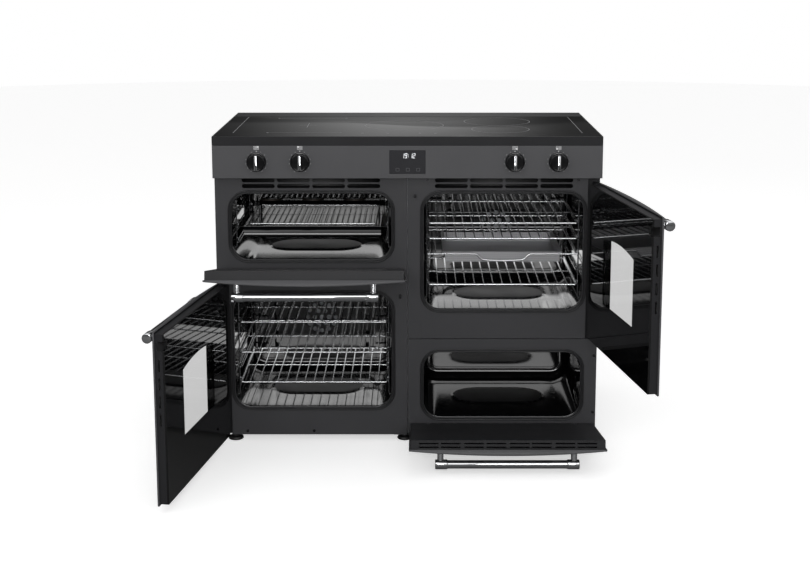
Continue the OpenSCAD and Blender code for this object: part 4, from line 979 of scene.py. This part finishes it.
def make_tray():
    """The cradle of bent wire with its dipped grip, and the pierced tray that hangs in it."""
    low, high = box_of("tray_frame")
    x = (low[0] + high[0]) / 2
    half = (high[0] - low[0]) / 2 - 1.5 * MM
    thick = 3.2 * MM
    y0, y1, z = low[1] + 2.6 * MM, high[1] - thick, high[2] - thick
    shapes = []
    dip, fall = 66 * MM, 19 * MM
    for side in (-1, 1):
        for reach, radius, sides in ((half - 1.5 * MM, 3.0 * MM, 10), (168.7 * MM, 1.8 * MM, 8)):
            ends = [(x + side * reach, y0, z), (x + side * reach, y1, z)]
            shapes.append(rod(ends, radius, (0, 0, 1), sides))
    front = [(x - half, y0, z), (x - dip - 10 * MM, y0, z),
             (x - dip + 6 * MM, y0, z - fall + 2 * MM), (x, y0, z - fall - 1.5 * MM),
             (x + dip - 6 * MM, y0, z - fall + 2 * MM), (x + dip + 10 * MM, y0, z),
             (x + half, y0, z)]
    shapes.append(rod(bent(front, 8 * MM, 6), 2.2 * MM, (0, 1, 0), 10))
    shapes.append(rod([(x - half, y1, z), (x + half, y1, z)], thick, (0, 0, 1), 10))
    piece("tray_cradle", shapes, [finish("wire")], "tray", ["tray_frame"])
    dressed("tray", finish("tray"), 0.3 * MM)


def make_grill_pan():
    """The enamelled pan, and its raised grid of thin wires."""
    dressed("grill_pan", finish("oven"), 0.8 * MM)
    low, high = box_of("grill_trivet")
    z = high[2] - 2.4 * MM
    y0, y1 = low[1] + 2.4 * MM, high[1] - 2.4 * MM
    x0, x1 = low[0] + 2.6 * MM, high[0] - 2.6 * MM
    outline = bent([(x0, y0, z), (x1, y0, z), (x1, y1, z), (x0, y1, z)], 9 * MM, 6, True)
    shapes = [rod(outline, 2.2 * MM, (0, 0, 1), 10, True)]
    wire = rod([(0, y0, z), (0, y1, z)], 1.5 * MM, (0, 0, 1), 8)
    shapes.append(copies(wire, [(x, 0, 0) for x in np.linspace(x0, x1, 23)[1:-1]]))
    for x in (x0, x1):
        for y in (y0 + 10 * MM, y1 - 10 * MM):
            shapes.append(rod([(x, y, low[2]), (x, y, z)], 2.4 * MM, (0, 1, 0), 8))
    piece("grill_grid", shapes, [finish("wire")], "grill_pan", ["grill_trivet"])


# ---------- doors ----------

# Whether a door is glazed.
DOORS = {"door_left_upper": False, "door_right_lower": False, "door_left_lower": True,
         "door_right_upper": True}
# Of the window in a skin, and of the clear field in an outer pane: the foot's height above the
# skin's, the height at the sides and the rise of the arch. The window's width comes first.
WINDOW = (380 * MM, 92 * MM, 255 * MM, 26 * MM)
OUTER_FIELD = (100 * MM, 240 * MM, 20 * MM)
INNER_INDEX, OUTER_INDEX = 1.08, 1.04


def skin_shape(low, high, glazed, edge, bend, notches):
    """The bowed outer skin of a shut door. The face is y = crest + R - sqrt(R^2 - x^2); its rim
    rolls back round a quarter circle and ends in a short wall, but below it slopes back at 45
    degrees where there is a bend, and the wall there is notched. Glazed, the face is a band
    between the window's outline and the rim's; else it is a grid whose border is the same
    outline."""
    middle = (low[0] + high[0]) / 2
    half, lip = (high[0] - low[0]) / 2, 5 * MM
    sag = high[1] - lip - low[1]
    radius = (half ** 2 + sag ** 2) / (2 * sag)

    def bow(x):
        return low[1] + radius - np.sqrt(radius ** 2 - x ** 2)

    across, up = 48, 16
    fold = bend or edge
    rim = arched(2 * (half - edge), low[2] + fold, high[2] - low[2] - edge - fold, 0, across, up)
    outward = np.sign(np.where(np.abs(np.abs(rim[:, 0]) - (half - edge)) < 1e-7, rim[:, 0], 0))
    top, foot = high[2] - edge, low[2] + fold
    upward = np.where(np.abs(rim[:, 1] - top) < 1e-7, 1,
                      np.where(np.abs(rim[:, 1] - foot) < 1e-7, -1, 0))
    rows = []
    for share in np.linspace(0, 1, 6):
        spread, fall = edge * math.sin(share * np.pi / 2), edge * (1 - math.cos(share * np.pi / 2))
        sloped = (upward < 0) & bool(bend)
        depth = np.minimum(bow(rim[:, 0]) + np.where(sloped, bend * share, fall), high[1] - 0.2 * MM)
        rows.append(np.column_stack([rim[:, 0] + outward * spread + middle, depth,
                                     rim[:, 1] + upward * np.where(sloped, bend * share, spread)]))
    last = rows[-1].copy()
    last[:, 1] = high[1]
    rows.append(last)
    points, faces = grid(np.array(rows), wrap_columns=True)
    reach = 3.7 * MM
    for x in notches:
        corners = points[np.array(faces)]
        cut = ((corners[..., 0].min(axis=1) < x + reach) & (corners[..., 0].max(axis=1) > x - reach)
               & (corners[..., 2].max(axis=1) < low[2] + reach))
        faces = [face for face, gone in zip(faces, cut) if not gone]
    shapes = [(points, faces)]
    if glazed:
        width, raised, height, rise = WINDOW
        inner = arched(width, low[2] + raised, height, rise, across, up)
        share = np.linspace(0, 1, 9)[:, None, None]
        plane = inner + (rim - inner) * share
        band = np.stack([plane[..., 0] + middle, bow(plane[..., 0]), plane[..., 1]], -1)
        shapes.append(grid(band, wrap_columns=True))
    else:
        x = np.linspace(half - edge, -(half - edge), across + 1)
        z = np.linspace(foot, top, up + 1)
        gx, gz = np.meshgrid(x, z)
        shapes.append(grid(np.stack([gx + middle, bow(gx), gz], -1)))
    return joined(*shapes)


def handle_shapes(low, high):
    """A handle shut: a turned bar with a sleeve at each end, and two turned posts on small
    feet."""
    bar, sleeve, length, post = 11.5 * MM, (high[2] - low[2]) / 2, 34 * MM, 8.5 * MM
    y, z = low[1] + sleeve, (low[2] + high[2]) / 2
    x0, total = low[0], high[0] - low[0]
    half = [(sleeve - 2.2 * MM, 0), (sleeve - 0.8 * MM, 0.5 * MM), (sleeve, 1.8 * MM),
            (sleeve, length - 2 * MM), (sleeve - 0.8 * MM, length - 0.8 * MM),
            (bar + 0.2 * MM, length), (bar, length + 0.4 * MM)]
    other = [(r, total - d) for r, d in reversed(half)]
    shapes = [turned(half + other, (x0, y, z), (1, 0, 0), 48)]
    reach, foot = high[1] - y, post + 0.9 * MM
    post_profile = [(post, 0), (post, reach - 4 * MM), (foot, reach - 3.4 * MM), (foot, reach)]
    for x in (x0 + 14.5 * MM, x0 + total - 14.5 * MM):
        shapes.append(turned(post_profile, (x, y, z), (0, 1, 0), 36))
    return shapes


def make_doors():
    """Each door is shaped shut and then turned open about its hinge. A glazed one has two panes,
    and the faces that lie less than 10 mm from the front when it is shut belong to the outer
    one."""
    sizes = bpy.context.scene.cooker_sizes
    for door, glazed in DOORS.items():
        joint = door + "_hinge"
        low, high = closed_box(door + "_skin", joint)
        centre = (low[0] + high[0]) / 2
        arms = [] if glazed else [centre + side * 215 * MM for side in (-1, 1)]
        bend = 0 if glazed else sizes.lower_bend
        points, faces = skin_shape(low, high, glazed, sizes.door_edge, bend, arms)
        behind = np.array([[centre, high[1] + 0.1, (low[2] + high[2]) / 2]])
        piece(door + "_shell", [(turn(points, joint, -1), faces)], [finish("panel")], door,
              [door + "_skin"], solid=False, inside=turn(behind, joint, -1)[0], wall=1.4 * MM)
        dressed(door + "_liner", finish("liner"), 0.5 * MM)
        bar_low, bar_high = closed_box(door + "_handle", joint)
        bars = [(turn(p, joint, -1), f) for p, f in handle_shapes(bar_low, bar_high)]
        piece(door + "_bar", bars, [finish("chrome")], door, [door + "_handle"])
        if glazed:
            inner = (sizes.clear_width, low[2] + sizes.clear_foot, sizes.clear_height,
                     sizes.clear_rise)
            raised, height, rise = OUTER_FIELD
            outer = (sizes.outer_width, low[2] + raised, height, rise)
            inner_pane = door_pane(door + "_inner_pane", joint, centre, inner, INNER_INDEX)
            outer_pane = door_pane(door + "_outer_pane", joint, centre, outer, OUTER_INDEX)
            panes = dressed(door + "_glass", inner_pane, 0.3 * MM)
            painted(panes.data, outer_pane, lambda spot: turn(spot, joint, 1)[:, 1] < 10 * MM)
        else:
            dressed(door + "_arms", finish("zinc"), 0.2 * MM)


# ---------- studio ----------

# Where the camera stands, how far it tips down in degrees, the photograph's width and the focal
# length in its pixels, the sensor's width in millimetres, and the shift as a share of the
# picture's width.
CAMERA_PLACE = (23 * MM, -3894 * MM, 1411 * MM)
CAMERA_TIP = 9.975
FRAME_WIDTH, FOCAL_PIXELS = 810, 1398.5
SENSOR = 36.0
SHIFT = (-0.0131, -0.115)


def make_camera():
    """The photograph's camera stands level and shifts its picture far down. This one tips down
    instead and shifts only the rest; its place and focal length give the least difference at the
    edges."""
    data = bpy.data.cameras.new("photo_camera")
    data.sensor_width = SENSOR
    data.lens = FOCAL_PIXELS / FRAME_WIDTH * SENSOR
    data.shift_x, data.shift_y = SHIFT
    data.clip_end = 50
    camera = bpy.data.objects.new("photo_camera", data)
    camera.location = CAMERA_PLACE
    camera.rotation_euler = (math.radians(90 - CAMERA_TIP), 0, 0)
    bpy.context.scene.collection.objects.link(camera)
    bpy.context.scene.camera = camera


def make_world():
    """A white room to the camera. What mirrors it sees a dim room under a bright ceiling, and low
    behind the cooker a dark wall with a soft patch in its middle, which shows in the hob. On the
    object it casts only a plain soft light."""
    world = bpy.data.worlds.new("studio")
    bpy.context.scene.world = world
    world.use_nodes = True
    tree = world.node_tree
    tree.nodes.clear()
    light = add(tree, "ShaderNodeLightPath").outputs
    place = add(tree, "ShaderNodeTexCoord").outputs["Generated"]
    axes = add(tree, "ShaderNodeSeparateXYZ", {"Vector": place}).outputs

    def eased(value, start, end, low, high):
        """Settings of a map range that eases from low to high while a value goes from start to
        end."""
        return {"Value": value, "From Min": start, "From Max": end, "To Min": low, "To Max": high}

    smooth, plain = {"interpolation_type": "SMOOTHSTEP"}, {"data_type": "FLOAT"}
    middle = add(tree, "ShaderNodeMath", {0: axes["X"], 1: 0.012}, operation="ADD")
    aside = add(tree, "ShaderNodeMath", {0: middle}, operation="ABSOLUTE")
    wide = add(tree, "ShaderNodeMapRange", eased(aside, 0.0, 0.14, 0.4, 0.05), **smooth)
    tall = add(tree, "ShaderNodeMapRange", eased(axes["Z"], 0.105, 0.13, 0.55, 1.15), **smooth)
    patch = add(tree, "ShaderNodeMath", {0: wide, 1: tall}, operation="MULTIPLY")
    room = add(tree, "ShaderNodeMapRange", eased(axes["Z"], 0.25, 0.6, 0.12, 0.95), **smooth)
    behind = add(tree, "ShaderNodeMapRange", eased(axes["Y"], 0.3, 0.9, 0.0, 1.0), **smooth)
    mirrored = add(tree, "ShaderNodeMix", {"Factor": behind, "A": room, "B": patch}, **plain)
    seen = add(tree, "ShaderNodeMath", {0: light["Is Camera Ray"], 1: light["Is Transmission Ray"]},
               operation="MAXIMUM")
    cast = add(tree, "ShaderNodeMix", {"Factor": light["Is Glossy Ray"], "A": 0.5, "B": mirrored},
               **plain)
    strength = add(tree, "ShaderNodeMix", {"Factor": seen, "A": cast, "B": 1.0}, **plain)
    glow = add(tree, "ShaderNodeBackground", {"Color": (1, 1, 1, 1), "Strength": strength})
    add(tree, "ShaderNodeOutputWorld", {"Surface": glow})


def area_light(name, place, aim, size, power):
    """A soft rectangular lamp at a place, facing a point; its radiance is power / (pi x its
    area)."""
    data = bpy.data.lights.new(name, "AREA")
    data.shape = "RECTANGLE"
    data.size, data.size_y = size
    data.energy = power
    lamp = bpy.data.objects.new(name, data)
    lamp.location = place
    lamp.rotation_euler = (Vector(aim) - Vector(place)).to_track_quat("-Z", "Y").to_euler()
    bpy.context.scene.collection.objects.link(lamp)
    return lamp


def make_floor():
    """A pale matt floor whose glow to the camera lifts it to the white of the room; shadows stay.
    What mirrors the floor sees it dim, as in a darkened studio."""
    made, tree, shader = start("studio_floor", Roughness=0.9)[:3]
    colour = tuple(bpy.context.scene.cooker_colours.floor)
    dim, lift, reach, sides = 0.15, 0.55, 12.0, 64
    light = add(tree, "ShaderNodeLightPath").outputs
    varied(tree, shader, light["Is Glossy Ray"], colour, tuple(c * dim for c in colour))
    seen = add(tree, "ShaderNodeMath", {0: light["Is Camera Ray"], 1: light["Is Transmission Ray"]},
               operation="MAXIMUM")
    glow = add(tree, "ShaderNodeMath", {0: seen, 1: lift}, operation="MULTIPLY")
    shader.inputs["Emission Color"].default_value = (1, 1, 1, 1)
    tree.links.new(glow.outputs[0], shader.inputs["Emission Strength"])
    angle = np.linspace(0, 2 * np.pi, sides, endpoint=False)
    points = np.stack([reach * np.cos(angle), reach * np.sin(angle), np.full(sides, -0.5 * MM)], 1)
    mesh = bpy.data.meshes.new("studio_floor")
    mesh.from_pydata(points.tolist(), [], [list(range(sides))])
    mesh.materials.append(made)
    floor = bpy.data.objects.new("studio_floor", mesh)
    bpy.context.scene.collection.objects.link(floor)


# Soft boxes: place and what they face, in metres, then size in metres and power in watts.
LOW_MIDDLE = (0, 0, 450 * MM)
SOFT_BOXES = (
    ("front", (0, -4.6, 1.75), (0, 0, 1.75), (3.0, 0.9), 80),
    ("key", (-2.2, -3.2, 3.4), LOW_MIDDLE, (2.4, 2.4), 22),
    ("fill", (2.6, -3.4, 2.2), LOW_MIDDLE, (2.4, 2.4), 14),
    ("top", (0, -0.4, 3.4), LOW_MIDDLE, (2.0, 2.0), 8),
    ("back", (1.2, 3.4, 3.2), LOW_MIDDLE, (2.4, 2.4), 8),
)
# Strips before the ovens' back walls, which the enamel floors mirror: y, foot and top in
# millimetres, and power in watts.
STRIP_WIDTH = 430 * MM
STRIPS = (("left_upper", 428, 589, 632, 0.05), ("right_upper", 404, 450, 493, 0.06),
          ("left_lower", 404, 175, 226, 0.05))


def make_studio():
    """Camera, world, floor and lamps. The strips are hidden from the camera."""
    make_camera()
    make_world()
    make_floor()
    for box in SOFT_BOXES:
        area_light(*box)
    for oven, y, low, high, power in STRIPS:
        x, z = oven_size(oven)[0], (low + high) / 2 * MM
        strip = area_light(oven + "_glow", (x, y * MM, z), (x, 0, z),
                           (STRIP_WIDTH, (high - low) * MM), power)
        strip.visible_camera = False
    bpy.context.scene.view_settings.view_transform = "Standard"


# ---------- operators and panel ----------

class COOKER_OT_studio(Operator):
    """Camera, light, world and floor"""
    bl_idname = "cooker.studio"
    bl_label = "Studio"

    def execute(self, context):
        make_studio()
        return {"FINISHED"}


class COOKER_OT_hob(Operator):
    """Ceramic glass, its printed marks and its frame"""
    bl_idname = "cooker.hob"
    bl_label = "Hob"

    def execute(self, context):
        make_hob()
        return {"FINISHED"}


class COOKER_OT_panel(Operator):
    """Panel, clock and its figures"""
    bl_idname = "cooker.panel"
    bl_label = "Control panel"

    def execute(self, context):
        make_panel()
        return {"FINISHED"}


class COOKER_OT_knobs(Operator):
    """Four knobs and their printed scales"""
    bl_idname = "cooker.knobs"
    bl_label = "Knobs"

    def execute(self, context):
        make_knobs()
        return {"FINISHED"}


class COOKER_OT_carcass(Operator):
    """Fascias, side and back sheets, fixings and feet"""
    bl_idname = "cooker.carcass"
    bl_label = "Carcass"

    def execute(self, context):
        make_carcass()
        return {"FINISHED"}


class COOKER_OT_ovens(Operator):
    """Enamelled ovens, seals, fans, elements and lamps"""
    bl_idname = "cooker.ovens"
    bl_label = "Ovens"

    def execute(self, context):
        make_ovens()
        return {"FINISHED"}


class COOKER_OT_racks(Operator):
    """Wire racks at the ovens' sides"""
    bl_idname = "cooker.racks"
    bl_label = "Racks"

    def execute(self, context):
        make_racks()
        return {"FINISHED"}


class COOKER_OT_shelves(Operator):
    """Six wire shelves"""
    bl_idname = "cooker.shelves"
    bl_label = "Shelves"

    def execute(self, context):
        make_shelves()
        return {"FINISHED"}


class COOKER_OT_tray(Operator):
    """Pierced tray in its cradle"""
    bl_idname = "cooker.tray"
    bl_label = "Tray"

    def execute(self, context):
        make_tray()
        return {"FINISHED"}


class COOKER_OT_grill(Operator):
    """Grill pan with its grid"""
    bl_idname = "cooker.grill"
    bl_label = "Grill pan"

    def execute(self, context):
        make_grill_pan()
        return {"FINISHED"}


class COOKER_OT_doors(Operator):
    """Skins, inner frames, glass, handles and arms"""
    bl_idname = "cooker.doors"
    bl_label = "Doors"

    def execute(self, context):
        make_doors()
        return {"FINISHED"}


# In the order in which they are built.
STEPS = [COOKER_OT_studio, COOKER_OT_hob, COOKER_OT_panel, COOKER_OT_knobs, COOKER_OT_carcass,
         COOKER_OT_ovens, COOKER_OT_racks, COOKER_OT_shelves, COOKER_OT_tray, COOKER_OT_grill,
         COOKER_OT_doors]


class COOKER_PT_sidebar(Panel):
    """Lists the steps and what may be changed."""
    bl_label = "Cooker"
    bl_idname = "COOKER_PT_sidebar"
    bl_space_type = "VIEW_3D"
    bl_region_type = "UI"
    bl_category = "Cooker"

    def draw(self, context):
        for group in (context.scene.cooker_colours, context.scene.cooker_sizes):
            for name in group.__annotations__:
                self.layout.prop(group, name)
        for step in STEPS:
            self.layout.operator(step.bl_idname)


CLASSES = [CookerColours, CookerSizes, *STEPS, COOKER_PT_sidebar]


def register():
    """Registers the classes and hangs the two groups on the scene."""
    for made in CLASSES:
        bpy.utils.register_class(made)
    bpy.types.Scene.cooker_colours = PointerProperty(type=CookerColours)
    bpy.types.Scene.cooker_sizes = PointerProperty(type=CookerSizes)


def unregister():
    """Undoes register, in the other order."""
    del bpy.types.Scene.cooker_sizes
    del bpy.types.Scene.cooker_colours
    for made in reversed(CLASSES):
        bpy.utils.unregister_class(made)


def main():
    """Builds all pieces through their operators."""
    register()
    for step in STEPS:
        getattr(bpy.ops.cooker, step.bl_idname.split(".")[1])()


if __name__ == "__main__":
    main()
